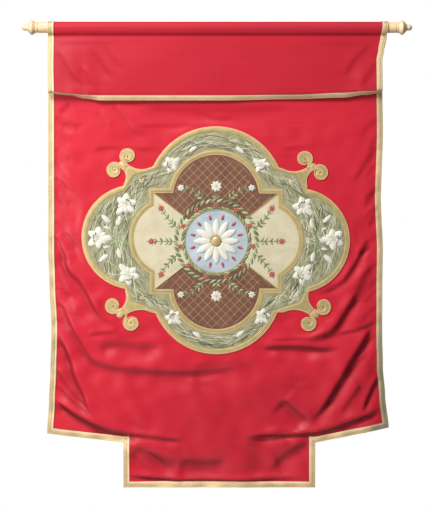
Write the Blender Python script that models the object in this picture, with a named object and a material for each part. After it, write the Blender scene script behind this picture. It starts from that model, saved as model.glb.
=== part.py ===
"""Church banner hanging from its turned wooden pole, in metres, +Z up.

The origin is the middle of the pole's axis. The banner hangs in the XZ plane, with its front towards -Y.
Heights on the cloth are given as drops, measured down from the pole's axis.
The red panel is one sheet with a stepped lower edge. Its top edge is caught in the stitched pocket of a
second cloth, which wraps the pole and hangs down in front as a flap. Gold galloon edges both cloths, and
a quatrefoil medallion with eight scrolls is sewn to the panel.
"""

import math

import bpy

# Pole and its turned ends
POLE_RADIUS = 0.0175
POLE_HALF_LENGTH = 0.590
POLE_SIDES = 24
FINIAL_SIDES = 20

# Thicknesses and the clearance between neighbouring pieces
SEAT_GAP = 0.0003
PANEL_THICKNESS = 0.0020
FLAP_THICKNESS = 0.0015
GALLOON_THICKNESS = 0.0012
GALLOON_WIDTH = 0.021
GROUND_THICKNESS = 0.0022
BORDER_THICKNESS = 0.0030
SCROLL_THICKNESS = 0.0026

# Red panel: where its main lines lie
PANEL_TOP_DROP = 0.026
PANEL_HALF_WIDTH = 0.557
SIDE_GALLOON_TOP_DROP = 0.055
HEM_DROP = 1.370
TAB_LEFT = -0.309
TAB_RIGHT = 0.316
TAB_DROP = 1.519
HEM_LIFT_LEFT = 0.030
HEM_LIFT_RIGHT = 0.048
FRONT_PLANE = -PANEL_THICKNESS / 2

# Flap and its pocket
POCKET_STITCH_DROP = 0.024
POCKET_TAIL_DROP = 0.038
FLAP_PARALLEL_DROP = 0.030

CRIMSON = (0.62, 0.035, 0.05, 1.0)
OLD_GOLD = (0.68, 0.52, 0.25, 1.0)
SAGE = (0.36, 0.38, 0.27, 1.0)
CREAM = (0.72, 0.66, 0.46, 1.0)
PINE = (0.80, 0.62, 0.38, 1.0)


def clear_scene():
    for obj in list(bpy.data.objects):
        bpy.data.objects.remove(obj, do_unlink=True)


def material(name, colour, roughness, metallic=0.0):
    made = bpy.data.materials.new(name)
    made.use_nodes = True
    shader = made.node_tree.nodes["Principled BSDF"]
    shader.inputs["Base Color"].default_value = colour
    shader.inputs["Roughness"].default_value = roughness
    shader.inputs["Metallic"].default_value = metallic
    return made


def add_object(name, data, finish):
    data.materials.append(finish)
    obj = bpy.data.objects.new(name, data)
    bpy.context.scene.collection.objects.link(obj)
    return obj


def smooth_step(value):
    value = min(1.0, max(0.0, value))
    return value * value * (3 - 2 * value)


def along(table, at, column):
    """Value of a column at a place in a table whose first column rises, eased between its rows."""
    if at <= table[0][0]:
        return table[0][column]
    for low, high in zip(table, table[1:]):
        if at <= high[0]:
            part = smooth_step((at - low[0]) / (high[0] - low[0]))
            return low[column] + (high[column] - low[column]) * part
    return table[-1][column]


def spaced(start, stop, step):
    """Even places from start to stop, near step apart, with both ends."""
    count = max(1, round(abs(stop - start) / step))
    return [start + (stop - start) * k / count for k in range(count)] + [stop]


def joined(*runs):
    """One list of places from runs whose ends meet."""
    places = list(runs[0])
    for run in runs[1:]:
        places += run[1:]
    return places


def layer_solid(name, triangles, front_of, back_of, finish):
    """Closed sheet between two surfaces that share their triangles, whose corners are keys."""
    keys = sorted({key for triangle in triangles for key in triangle})
    index = {key: k for k, key in enumerate(keys)}
    count = len(keys)
    points = [front_of(key) for key in keys] + [back_of(key) for key in keys]
    faces = []
    used = {}
    for triangle in triangles:
        a, b, c = (index[key] for key in triangle)
        faces.append((a, b, c))
        faces.append((c + count, b + count, a + count))
        for edge in ((a, b), (b, c), (c, a)):
            used[edge] = True
    for start, end in used:
        if (end, start) not in used:
            faces.append((end, start, start + count))
            faces.append((end, start + count, end + count))
    mesh = bpy.data.meshes.new(name)
    mesh.from_pydata(points, [], faces)
    mesh.shade_smooth()
    mesh.set_sharp_from_angle(angle=math.radians(40))
    return add_object(name, mesh, finish)


# Edges of the red panel: drop, left edge, right edge, from the pocket down to the hem's corners
PANEL_EDGES = (
    (0.026, -0.5577, 0.5600),
    (0.110, -0.5577, 0.5445),
    (0.340, -0.5577, 0.5475),
    (0.570, -0.5577, 0.5412),
    (0.735, -0.5577, 0.5475),
    (0.850, -0.5544, 0.5462),
    (1.000, -0.5478, 0.5462),
    (1.145, -0.5511, 0.5495),
    (1.260, -0.5555, 0.5577),
    (1.370, -0.5610, 0.5690),
)

# Folds of the red panel: trough depth, half width, height of the ridge beside it,
# side of that ridge (1 is left of the route's direction, seen from the front), route as (x, drop)
PANEL_FOLDS = (
    (0.007, 0.018, 0.006, 1, ((-0.525, 0.866), (-0.488, 0.932), (-0.465, 1.005), (-0.411, 1.089),
                              (-0.295, 1.130), (-0.155, 1.140), (0.000, 1.133))),
    (0.010, 0.015, 0.008, 1, ((-0.518, 0.734), (-0.485, 0.783), (-0.444, 0.858), (-0.419, 0.906),
                              (-0.393, 0.939), (-0.360, 0.968), (-0.327, 0.981))),
    (0.004, 0.020, 0.003, -1, ((-0.386, 1.047), (-0.287, 1.050), (-0.195, 1.060))),
    (0.006, 0.016, 0.005, 1, ((-0.525, 1.014), (-0.493, 1.089), (-0.472, 1.163), (-0.442, 1.216),
                              (-0.426, 1.262))),
    (0.005, 0.014, 0.004, 1, ((-0.528, 1.140), (-0.492, 1.173), (-0.459, 1.216), (-0.432, 1.255))),
    (0.011, 0.016, 0.008, 1, ((-0.531, 1.229), (-0.498, 1.265), (-0.444, 1.292), (-0.394, 1.311),
                              (-0.328, 1.338), (-0.195, 1.361), (-0.102, 1.368))),
    (0.007, 0.022, 0.005, 1, ((-0.221, 1.391), (-0.148, 1.407), (-0.056, 1.430), (0.003, 1.430))),
    (0.016, 0.019, 0.014, -1, ((0.528, 0.968), (0.497, 1.014), (0.455, 1.080), (0.414, 1.146),
                               (0.381, 1.204), (0.348, 1.254), (0.300, 1.308))),
    (0.008, 0.015, 0.007, -1, ((0.525, 0.777), (0.488, 0.826), (0.455, 0.886), (0.426, 0.935),
                               (0.373, 0.998), (0.333, 1.018))),
    (0.007, 0.020, 0.004, -1, ((0.148, 1.058), (0.274, 1.060), (0.399, 1.061))),
    (0.011, 0.015, 0.008, -1, ((0.535, 1.265), (0.464, 1.295), (0.381, 1.320), (0.307, 1.341),
                               (0.208, 1.348), (0.102, 1.354))),
    (0.006, 0.014, 0.005, -1, ((0.528, 1.173), (0.505, 1.221), (0.485, 1.269))),
    (0.005, 0.016, 0.004, -1, ((0.472, 1.196), (0.439, 1.237), (0.403, 1.288))),
    (0.006, 0.020, 0.005, -1, ((0.297, 1.381), (0.224, 1.419), (0.172, 1.470))),
    (0.006, 0.016, 0.005, -1, ((0.528, 0.721), (0.480, 0.744), (0.439, 0.800), (0.389, 0.849),
                               (0.330, 0.876))),
)
FOLD_END_SHARE = 0.14
RIDGE_OFFSET = 1.7

# Panel's slow curve backwards at its sides: where it starts, and how far back it is at the edge by drop
CURL_START = 0.37
SIDE_CURL = (
    (0.06, 0.000, 0.000),
    (0.25, 0.005, 0.007),
    (0.70, 0.010, 0.014),
    (1.10, 0.014, 0.022),
    (1.37, 0.008, 0.012),
)


def route_place(route, x, drop):
    """Distance from a route, signed to its left, and the share of its length at the nearest place."""
    lengths = [math.dist(a, b) for a, b in zip(route, route[1:])]
    best = (1e9, 0.0)
    run = 0.0
    for (ax, az), (bx, bz), length in zip(route, route[1:], lengths):
        dx = (bx - ax) / length
        dz = (bz - az) / length
        t = min(length, max(0.0, (x - ax) * dx + (drop - az) * dz))
        gap = math.hypot(x - ax - t * dx, drop - az - t * dz)
        if gap < abs(best[0]):
            side = (x - ax) * dz - (drop - az) * dx
            best = (math.copysign(gap, side), (run + t) / sum(lengths))
        run += length
    return best


def fold_depth(x, drop):
    """How far the folds bring the panel's front forwards at a place."""
    depth = 0.0
    for trough, width, ridge, side, route in PANEL_FOLDS:
        gap, share = route_place(route, x, drop)
        if abs(gap) > 5 * width:
            continue
        ends = smooth_step(share / FOLD_END_SHARE) * smooth_step((1 - share) / (2 * FOLD_END_SHARE))
        s = gap * side / width
        depth += (ridge * math.exp(-((s - RIDGE_OFFSET) ** 2)) - trough * math.exp(-s * s)) * ends
    return depth


def curl_depth(x, drop):
    edge = along(SIDE_CURL, drop, 1 if x < 0 else 2)
    beyond = max(0.0, (abs(x) - CURL_START) / (PANEL_HALF_WIDTH - CURL_START))
    return -edge * beyond * beyond


# Medallion: the lobes of the quatrefoil as centre x, centre drop, radius
LOBES = {
    "top": (-0.004, 0.554, 0.228),
    "right": (0.266, 0.703, 0.173),
    "bottom": (-0.002, 0.861, 0.217),
    "left": (-0.274, 0.692, 0.173),
}
# Corners between the lobes, clockwise from the upper right: end of the lobe before, the barb's two points,
# start of the lobe after, and the corner of the embroidered ground inside, each as (x, drop)
CORNERS = {
    "upper_right": ((0.208, 0.460), (0.295, 0.463), (0.310, 0.478), (0.300, 0.526), (0.264, 0.489)),
    "lower_right": ((0.304, 0.873), (0.320, 0.927), (0.302, 0.946), (0.211, 0.945), (0.272, 0.907)),
    "lower_left": ((-0.208, 0.945), (-0.296, 0.946), (-0.314, 0.924), (-0.304, 0.869), (-0.278, 0.904)),
    "upper_left": ((-0.310, 0.519), (-0.306, 0.473), (-0.290, 0.454), (-0.211, 0.457), (-0.274, 0.489)),
}
HOLLOW_SHARE = 0.15
BORDER_WIDTH = 0.018
INNER_BORDER_WIDTH = 0.0165
ARC_STEP = math.radians(10)

# Window of the medallion: its arcs as centre x, centre drop, radius, and its four square corners
WINDOW_ARCH = (-0.003, 0.562, 0.142)
WINDOW_FOOT = (-0.002, 0.853, 0.142)
WINDOW_LEFT = (-0.156, 0.694, 0.118)
WINDOW_RIGHT = (0.153, 0.702, 0.116)
WINDOW_CORNERS = {
    "upper_left": (-0.208, 0.546),
    "upper_right": (0.201, 0.548),
    "lower_right": (0.198, 0.861),
    "lower_left": (-0.205, 0.863),
}

# Scrolls: centre x, centre drop, corner they grow from, turn (1 is clockwise seen from the front)
SCROLLS = {
    "upper_left_top": (-0.295, 0.425, "upper_left", 1),
    "upper_left_side": (-0.338, 0.470, "upper_left", -1),
    "upper_right_top": (0.290, 0.434, "upper_right", -1),
    "upper_right_side": (0.340, 0.478, "upper_right", 1),
    "lower_left_side": (-0.343, 0.919, "lower_left", 1),
    "lower_left_foot": (-0.284, 0.974, "lower_left", -1),
    "lower_right_side": (0.350, 0.922, "lower_right", -1),
    "lower_right_foot": (0.302, 0.975, "lower_right", 1),
}
SCROLL_RADIUS = 0.027
SCROLL_SWEEP = math.radians(285)
SCROLL_LEAD = math.radians(12)
SCROLL_STEPS = 18
ROOT_GAP = 0.0005
ROOT_INSET = 0.05
# Ribbon of a scroll: share of its sweep, its width, and its middle line's radius
SCROLL_RIBBON = (
    (0.00, 0.010, 0.0240),
    (0.12, 0.014, 0.0195),
    (0.40, 0.017, 0.0180),
    (0.75, 0.015, 0.0165),
    (1.00, 0.007, 0.0095),
)


def arc_points(centre_x, centre_drop, radius, start, end):
    """Points of an arc from the ray through start to the ray through end, clockwise from the front."""
    first = math.atan2(start[1] - centre_drop, start[0] - centre_x)
    last = math.atan2(end[1] - centre_drop, end[0] - centre_x)
    if last <= first:
        last += 2 * math.pi
    count = max(2, round((last - first) / ARC_STEP))
    angles = [first + (last - first) * k / count for k in range(count + 1)]
    return [(centre_x + radius * math.cos(a), centre_drop + radius * math.sin(a)) for a in angles]


def hollow_points(start, end):
    """Points between two ends of a shallow hollow that dips to the right of its clockwise direction."""
    length = math.dist(start, end)
    sagitta = HOLLOW_SHARE * length
    inward = (-(end[1] - start[1]) / length, (end[0] - start[0]) / length)
    points = []
    for share in (0.2, 0.4, 0.6, 0.8):
        dip = sagitta * 4 * share * (1 - share)
        points.append((
            start[0] + (end[0] - start[0]) * share + inward[0] * dip,
            start[1] + (end[1] - start[1]) * share + inward[1] * dip,
        ))
    return points


def border_outline():
    """Outer edge of the medallion, clockwise from the front, with a blunt barb at each corner."""
    outline = []
    corners = list(CORNERS.values())
    order = ("right", "bottom", "left", "top")
    for k, (corner, lobe) in enumerate(zip(corners, order)):
        before, barb_a, barb_b, after, _ = corner
        following = corners[(k + 1) % 4][0]
        outline += hollow_points(before, barb_a)
        outline += [barb_a, barb_b]
        outline += hollow_points(barb_b, after)
        outline += arc_points(*LOBES[lobe], after, following)
    return outline


def ground_outline():
    """Outer edge of the embroidered ground: the same lobes inside the border, with one plain corner each."""
    outline = []
    corners = list(CORNERS.values())
    order = ("right", "bottom", "left", "top")
    for k, (corner, lobe) in enumerate(zip(corners, order)):
        centre_x, centre_drop, radius = LOBES[lobe]
        following = corners[(k + 1) % 4][0]
        outline.append(corner[4])
        outline += arc_points(centre_x, centre_drop, radius - BORDER_WIDTH, corner[3], following)
    return outline


def level_crossing(arc, drop, side):
    """Where an arc crosses a level line, on its left (-1) or right (1) side."""
    centre_x, centre_drop, radius = arc
    return (centre_x + side * math.sqrt(radius ** 2 - (drop - centre_drop) ** 2), drop)


def upright_crossing(arc, x, side):
    """Where an arc crosses an upright line, on its upper (-1) or lower (1) side."""
    centre_x, centre_drop, radius = arc
    return (x, centre_drop + side * math.sqrt(radius ** 2 - (x - centre_x) ** 2))


def window_outline():
    """Inner edge of the inner border, clockwise from the left foot of the arch."""
    upper_left = WINDOW_CORNERS["upper_left"]
    upper_right = WINDOW_CORNERS["upper_right"]
    lower_right = WINDOW_CORNERS["lower_right"]
    lower_left = WINDOW_CORNERS["lower_left"]
    arch = (level_crossing(WINDOW_ARCH, upper_left[1], -1), level_crossing(WINDOW_ARCH, upper_right[1], 1))
    right = (upright_crossing(WINDOW_RIGHT, upper_right[0], -1),
             upright_crossing(WINDOW_RIGHT, lower_right[0], 1))
    foot = (level_crossing(WINDOW_FOOT, lower_right[1], 1), level_crossing(WINDOW_FOOT, lower_left[1], -1))
    left = (upright_crossing(WINDOW_LEFT, lower_left[0], 1), upright_crossing(WINDOW_LEFT, upper_left[0], -1))
    outline = arc_points(*WINDOW_ARCH, *arch) + [upper_right]
    outline += arc_points(*WINDOW_RIGHT, *right) + [lower_right]
    outline += arc_points(*WINDOW_FOOT, *foot) + [lower_left]
    outline += arc_points(*WINDOW_LEFT, *left) + [upper_left]
    return outline


def grown(outline, distance):
    """The clockwise outline moved outwards by a distance, with mitred corners."""
    moved = []
    for before, here, after in zip(outline[-1:] + outline[:-1], outline, outline[1:] + outline[:1]):
        sides = []
        for a, b in ((before, here), (here, after)):
            length = math.dist(a, b)
            sides.append(((b[1] - a[1]) / length, -(b[0] - a[0]) / length))
        out_x = sides[0][0] + sides[1][0]
        out_z = sides[0][1] + sides[1][1]
        spread = 1 + sides[0][0] * sides[1][0] + sides[0][1] * sides[1][1]
        moved.append((here[0] + out_x * distance / spread, here[1] + out_z * distance / spread))
    return moved


def scroll_outline(centre_x, centre_drop, corner, turn):
    """Edge of a scroll's curled ribbon, from its root on half of the barb's end to its tucked tip."""
    barb_a, barb_b = CORNERS[corner][1:3]
    middle = ((barb_a[0] + barb_b[0]) / 2, (barb_a[1] + barb_b[1]) / 2)
    own = min((barb_a, barb_b), key=lambda point: math.dist(point, (centre_x, centre_drop)))
    half_end = (own[0] - middle[0], own[1] - middle[1])
    away = (barb_a[1] - barb_b[1], barb_b[0] - barb_a[0])
    clear = ROOT_GAP / math.hypot(*away)
    root = []
    for share in (ROOT_INSET, 1 - ROOT_INSET):
        root.append((
            middle[0] + half_end[0] * share - away[0] * clear,
            middle[1] + half_end[1] * share - away[1] * clear,
        ))
    start = math.atan2(middle[1] - centre_drop, middle[0] - centre_x) + turn * SCROLL_LEAD
    outer = [root[0]]
    inner = [root[1]]
    for k in range(SCROLL_STEPS + 1):
        share = k / SCROLL_STEPS
        angle = start + turn * SCROLL_SWEEP * share
        width = along(SCROLL_RIBBON, share, 1)
        ring = along(SCROLL_RIBBON, share, 2)
        for edge, radius in ((outer, min(SCROLL_RADIUS, ring + width / 2)), (inner, ring - width / 2)):
            edge.append((centre_x + radius * math.cos(angle), centre_drop + radius * math.sin(angle)))
    return outer + inner[::-1]


def plate(name, outlines, thickness, finish):
    """Flat piece that lies on the panel's front, with one outline for its edge and one for each hole."""
    curve = bpy.data.curves.new(name, "CURVE")
    curve.dimensions = "2D"
    curve.fill_mode = "BOTH"
    curve.extrude = thickness / 2
    for outline in outlines:
        spline = curve.splines.new("POLY")
        spline.points.add(len(outline) - 1)
        for point, (x, drop) in zip(spline.points, outline):
            point.co = (x, -drop, 0.0, 1.0)
        spline.use_cyclic_u = True
    obj = add_object(name, curve, finish)
    obj.rotation_euler = (math.radians(90), 0.0, 0.0)
    obj.location = (0.0, FRONT_PLANE - SEAT_GAP - thickness / 2, 0.0)
    return obj


def inside(outline, x, drop):
    """Whether a place is inside a closed outline."""
    found = False
    for (ax, az), (bx, bz) in zip(outline, outline[1:] + outline[:1]):
        if (az > drop) != (bz > drop) and x < ax + (drop - az) / (bz - az) * (bx - ax):
            found = not found
    return found


def edge_distance(outline, x, drop):
    closed = tuple(outline) + (outline[0],)
    return abs(route_place(closed, x, drop)[0])


def finely(outline, step):
    """The closed outline with extra points, so that none lie further apart than a step."""
    points = []
    for a, b in zip(outline, outline[1:] + outline[:1]):
        count = max(1, math.ceil(math.dist(a, b) / step))
        points += [(a[0] + (b[0] - a[0]) * k / count, a[1] + (b[1] - a[1]) * k / count) for k in range(count)]
    return points


class Sheet:
    """A cloth on a grid of columns (left to right) and rows, with an outer surface that trims lie on."""

    def __init__(self, name, columns, row_count, thickness):
        self.name = name
        self.columns = columns
        self.thickness = thickness
        self.last = len(columns) - 1
        self.foot = row_count - 1

    def corner(self, i, j, proud):
        """Point a distance outside the surface at a grid corner."""
        raise NotImplementedError

    def point(self, key, proud):
        """As corner, but a key may also lie part of the way along a grid line."""
        i, j = key
        low_i, low_j = int(i), int(j)
        near = self.corner(low_i, low_j, proud)
        if (i, j) == (low_i, low_j):
            return near
        far = self.corner(low_i + (i > low_i), low_j + (j > low_j), proud)
        share = (i - low_i) + (j - low_j)
        return tuple(a + (b - a) * share for a, b in zip(near, far))

    def falls(self, i, j):
        """Whether a cell is cut from its upper left to its lower right: along its folds, or a mitre."""
        if j == self.foot - 1:
            return i == self.last - 1
        return self.columns[i] < 0

    def halves(self, i, j):
        a, b, c, d = (i, j), (i + 1, j), (i + 1, j + 1), (i, j + 1)
        if self.falls(i, j):
            return (a, d, c), (a, c, b)
        return (a, d, b), (b, d, c)

    def has_cell(self, i, j):
        return True

    def build(self, finish):
        triangles = []
        for j in range(self.foot):
            for i in range(self.last):
                if self.has_cell(i, j):
                    triangles += self.halves(i, j)
        return layer_solid(
            self.name, triangles,
            lambda key: self.point(key, 0.0), lambda key: self.point(key, -self.thickness), finish,
        )


class Panel(Sheet):
    """The red panel: its front is worked out from the fold table, and level under the medallion."""

    FINE_STEP = 0.017
    CENTRE_STEP = 0.048
    STIFF_FADE = 0.030
    LIFT_FROM = 0.95
    LIFT_RUN = 0.35

    def __init__(self, flat_outlines):
        half = PANEL_HALF_WIDTH
        columns = joined(
            [-half, -half + GALLOON_WIDTH],
            spaced(-half + GALLOON_WIDTH, TAB_LEFT, self.FINE_STEP),
            [TAB_LEFT, TAB_LEFT + GALLOON_WIDTH],
            spaced(TAB_LEFT + GALLOON_WIDTH, TAB_RIGHT - GALLOON_WIDTH, self.CENTRE_STEP),
            [TAB_RIGHT - GALLOON_WIDTH, TAB_RIGHT],
            spaced(TAB_RIGHT, half - GALLOON_WIDTH, self.FINE_STEP),
            [half - GALLOON_WIDTH, half],
        )
        self.rows = joined(
            [PANEL_TOP_DROP, SIDE_GALLOON_TOP_DROP],
            spaced(SIDE_GALLOON_TOP_DROP, 0.70, 0.052),
            spaced(0.70, 0.96, 0.028),
            spaced(0.96, HEM_DROP - GALLOON_WIDTH, self.FINE_STEP),
            [HEM_DROP - GALLOON_WIDTH, HEM_DROP],
            spaced(HEM_DROP, TAB_DROP - GALLOON_WIDTH, 0.024),
            [TAB_DROP - GALLOON_WIDTH, TAB_DROP],
        )
        super().__init__("banner_panel", columns, len(self.rows), PANEL_THICKNESS)
        self.hem = self.rows.index(HEM_DROP)
        self.tab_left = columns.index(TAB_LEFT)
        self.tab_right = columns.index(TAB_RIGHT)
        self.flat_outlines = [finely(outline, 0.006) for outline in flat_outlines]
        self.place = {}
        self.depth = {}
        for i, column in enumerate(columns):
            for j, row in enumerate(self.rows):
                self.place[i, j] = self.spot(column, row)
                self.depth[i, j] = self.surface_depth(*self.place[i, j])
        self.level_seat()

    def spot(self, column, row):
        """Real place of a grid corner: the sides follow PANEL_EDGES and the hem's corners are lifted."""
        across = (column + PANEL_HALF_WIDTH) / (2 * PANEL_HALF_WIDTH)
        left = along(PANEL_EDGES, row, 1) + PANEL_HALF_WIDTH
        right = along(PANEL_EDGES, row, 2) - PANEL_HALF_WIDTH
        lift = HEM_LIFT_LEFT * max(0.0, TAB_LEFT - column) / (PANEL_HALF_WIDTH + TAB_LEFT)
        lift += HEM_LIFT_RIGHT * max(0.0, column - TAB_RIGHT) / (PANEL_HALF_WIDTH - TAB_RIGHT)
        raised = row - lift * smooth_step((row - self.LIFT_FROM) / self.LIFT_RUN)
        return column + left * (1 - across) + right * across, raised

    def surface_depth(self, x, drop):
        away = 1.0
        for outline in self.flat_outlines:
            if inside(outline, x, drop):
                return 0.0
            away = min(away, edge_distance(outline, x, drop))
        return (fold_depth(x, drop) + curl_depth(x, drop)) * smooth_step(away / self.STIFF_FADE)

    def level_seat(self):
        """Levels every cell that the medallion or a scroll reaches, so that each lies on a flat seat."""
        margin = 0.002
        for i in range(self.last):
            for j in range(self.hem):
                corners = ((i, j), (i + 1, j), (i, j + 1), (i + 1, j + 1))
                xs = [self.place[corner][0] for corner in corners]
                drops = [self.place[corner][1] for corner in corners]
                reached = any(
                    min(xs) - margin < x < max(xs) + margin and min(drops) - margin < z < max(drops) + margin
                    for outline in self.flat_outlines for x, z in outline
                )
                if reached:
                    for corner in corners:
                        self.depth[corner] = 0.0

    def corner(self, i, j, proud):
        """The distance grows along Y where the surface slopes, so that thicknesses stay true."""
        low_i, high_i = max(0, i - 1), min(self.last, i + 1)
        low_j, high_j = max(0, j - 1), min(self.foot, j + 1)
        run_x = self.place[high_i, j][0] - self.place[low_i, j][0]
        run_z = self.place[i, high_j][1] - self.place[i, low_j][1]
        slope_x = (self.depth[high_i, j] - self.depth[low_i, j]) / run_x
        slope_z = (self.depth[i, high_j] - self.depth[i, low_j]) / run_z
        stretch = math.sqrt(1 + slope_x ** 2 + slope_z ** 2)
        x, drop = self.place[i, j]
        return (x, FRONT_PLANE - self.depth[i, j] - proud * stretch, -drop)

    def falls(self, i, j):
        if j == self.hem - 1:
            return i in (self.last - 1, self.tab_right - 1)
        if j == self.foot - 1:
            return i == self.tab_right - 1
        return self.columns[i] < 0

    def has_cell(self, i, j):
        return j < self.hem or self.tab_left <= i < self.tab_right


# Flap: x, drop of its lower galloon's upper edge, drop of its lower edge, how far that upper edge stands out
FLAP_EDGE = (
    (-0.551, 0.2110, 0.2155, 0.031),
    (-0.485, 0.2168, 0.2215, 0.030),
    (-0.436, 0.2214, 0.2330, 0.025),
    (-0.380, 0.2237, 0.2412, 0.020),
    (0.010, 0.2237, 0.2412, 0.018),
    (0.257, 0.2211, 0.2356, 0.019),
    (0.422, 0.2152, 0.2313, 0.022),
    (0.500, 0.2095, 0.2215, 0.028),
    (0.551, 0.2070, 0.2135, 0.031),
)
# Its sides: drop, left edge, right edge
FLAP_SIDES = (
    (0.000, -0.5577, 0.5643),
    (0.030, -0.5577, 0.5590),
    (0.074, -0.5577, 0.5510),
    (0.110, -0.5577, 0.5445),
    (0.240, -0.5550, 0.5445),
)
# Its folds, in the columns of PANEL_FOLDS
FLAP_FOLDS = (
    (0.005, 0.016, 0.003, 1, ((-0.528, 0.060), (-0.518, 0.082), (-0.444, 0.189), (-0.430, 0.215))),
    (0.003, 0.016, 0.002, 1, ((-0.405, 0.055), (-0.399, 0.070), (-0.345, 0.156), (-0.335, 0.180))),
    (0.005, 0.016, 0.003, -1, ((0.510, 0.040), (0.497, 0.057), (0.422, 0.165), (0.405, 0.190))),
)


class Flap(Sheet):
    """The cloth that wraps the pole: from its tail behind the panel, over the pole and down in front."""

    END_STEP = 0.027
    CENTRE_STEP = 0.062
    END_RUN = 0.20
    HANG_SHARES = (0.15, 0.32, 0.49, 0.66, 0.83, 1.0)
    CLEAR_DEGREES = 45

    def __init__(self):
        half = PANEL_HALF_WIDTH
        columns = joined(
            [-half, -half + GALLOON_WIDTH],
            spaced(-half + GALLOON_WIDTH, -half + self.END_RUN, self.END_STEP),
            spaced(-half + self.END_RUN, half - self.END_RUN, self.CENTRE_STEP),
            spaced(half - self.END_RUN, half - GALLOON_WIDTH, self.END_STEP),
            [half - GALLOON_WIDTH, half],
        )
        self.sections = [self.section(column) for column in columns]
        super().__init__("pole_flap", columns, len(self.sections[0]), FLAP_THICKNESS)

    def section(self, column):
        """Inner surface at a column, as (forward, drop), from the tail over the pole to the lower edge."""
        seat = PANEL_THICKNESS / 2 + SEAT_GAP
        points = [(-seat, POCKET_TAIL_DROP), (-seat, POCKET_STITCH_DROP)]
        step = 360 / POLE_SIDES
        angle = self.CLEAR_DEGREES
        while angle <= 360 - self.CLEAR_DEGREES:
            turn = math.radians(angle)
            radius = POLE_RADIUS + SEAT_GAP
            points.append((-radius * math.sin(turn), radius * math.cos(turn)))
            angle += step
        points += [(seat, POCKET_STITCH_DROP), (seat, FLAP_PARALLEL_DROP)]
        upper = along(FLAP_EDGE, column, 1)
        lower = along(FLAP_EDGE, column, 2)
        out = along(FLAP_EDGE, column, 3)
        for share in self.HANG_SHARES:
            drop = FLAP_PARALLEL_DROP + (upper - FLAP_PARALLEL_DROP) * share
            forward = seat + (out - seat) * share + self.fold_depth(column, drop) * share
            points.append((forward, drop))
        forward = points[-1][0] - math.sqrt(GALLOON_WIDTH ** 2 - (lower - upper) ** 2)
        points.append((forward, lower))
        return points

    def fold_depth(self, x, drop):
        depth = 0.0
        for trough, width, ridge, side, route in FLAP_FOLDS:
            gap, share = route_place(route, x, drop)
            s = gap * side / width
            ends = smooth_step(share / FOLD_END_SHARE) * smooth_step((1 - share) / FOLD_END_SHARE)
            depth += (ridge * math.exp(-((s - RIDGE_OFFSET) ** 2)) - trough * math.exp(-s * s)) * ends
        return depth

    def corner(self, i, j, proud):
        """Offsets the section squarely, with mitred bends, so that its layers stay evenly apart."""
        section = self.sections[i]
        forward, drop = section[j]
        normals = []
        for a, b in ((j - 1, j), (j, j + 1)):
            if a >= 0 and b < len(section):
                length = math.dist(section[a], section[b])
                run = (section[b][0] - section[a][0], section[b][1] - section[a][1])
                normals.append((run[1] / length, -run[0] / length))
        first, second = normals[0], normals[-1]
        spread = 1 + first[0] * second[0] + first[1] * second[1]
        reach = (FLAP_THICKNESS + proud) / spread
        forward += (first[0] + second[0]) * reach
        drop += (first[1] + second[1]) * reach
        half = PANEL_HALF_WIDTH
        across = (self.columns[i] + half) / (2 * half)
        left = along(FLAP_SIDES, section[j][1], 1) + half
        right = along(FLAP_SIDES, section[j][1], 2) - half
        return (self.columns[i] + left * (1 - across) + right * across, -forward, -drop)


def galloon(name, sheet, cells, moved, finish):
    """A length of galloon on a sheet's outside. Each cell comes with the half that it takes, or None for both.

    moved slides a corner at a mitred end along its grid line, so that two lengths stay apart.
    """
    triangles = []
    for i, j, half in cells:
        both = sheet.halves(i, j)
        chosen = both if half is None else (both[half],)
        triangles += [tuple(moved.get(key, key) for key in triangle) for triangle in chosen]
    layer_solid(
        name, triangles,
        lambda key: sheet.point(key, SEAT_GAP + GALLOON_THICKNESS), lambda key: sheet.point(key, SEAT_GAP),
        finish,
    )


MITRE_SHARE = 0.03


def upright(name, sheet, column, start, stop, begin, finish):
    """Galloon down a side, from row start to row stop, mitred at its foot and, with begin, at its head.

    column is the cell column that it covers. begin is the half cell it takes above its first row.
    """
    outer = column if name.endswith("left") else column + 1
    half = 0 if name.endswith("left") else 1
    cells = [(column, j, None) for j in range(start, stop - 1)] + [(column, stop - 1, half)]
    if begin is not None:
        cells.append((column, start - 1, begin))
    galloon(name, sheet, cells, {(outer, stop): (outer, stop - MITRE_SHARE)}, finish)


def level(name, sheet, row, left, right, finish):
    """Galloon along a lower edge, in cell row row, between two mitres.

    left and right are the mitred end cells, each with the half it takes and the grid corners it draws back.
    """
    (left_cell, left_half, left_moved) = left
    (right_cell, right_half, right_moved) = right
    cells = [(left_cell, row, left_half), (right_cell, row, right_half)]
    cells += [(i, row, None) for i in range(left_cell + 1, right_cell)]
    moved = {(i, j): (i + MITRE_SHARE, j) for i, j in left_moved}
    moved.update({(i, j): (i - MITRE_SHARE, j) for i, j in right_moved})
    galloon(name, sheet, cells, moved, finish)


def panel_galloons(panel, finish):
    """Seven mitred lengths of galloon along the panel's sides, hem and tab."""
    last, hem, foot = panel.last, panel.hem, panel.foot
    left, right = panel.tab_left, panel.tab_right
    upright("galloon_side_left", panel, 0, 1, hem, None, finish)
    upright("galloon_side_right", panel, last - 1, 1, hem, None, finish)
    upright("galloon_tab_left", panel, left, hem, foot, 1, finish)
    upright("galloon_tab_right", panel, right - 1, hem, foot, 0, finish)
    level("galloon_hem_left", panel, hem - 1,
          (0, 1, ((0, hem), (1, hem - 1))), (left, 0, ((left, hem), (left + 1, hem - 1))), finish)
    level("galloon_hem_right", panel, hem - 1,
          (right - 1, 1, ((right, hem), (right - 1, hem - 1))), (last - 1, 0, ((last, hem), (last - 1, hem - 1))),
          finish)
    level("galloon_tab_foot", panel, foot - 1,
          (left, 1, ((left, foot), (left + 1, foot - 1))),
          (right - 1, 0, ((right, foot), (right - 1, foot - 1))), finish)


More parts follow.
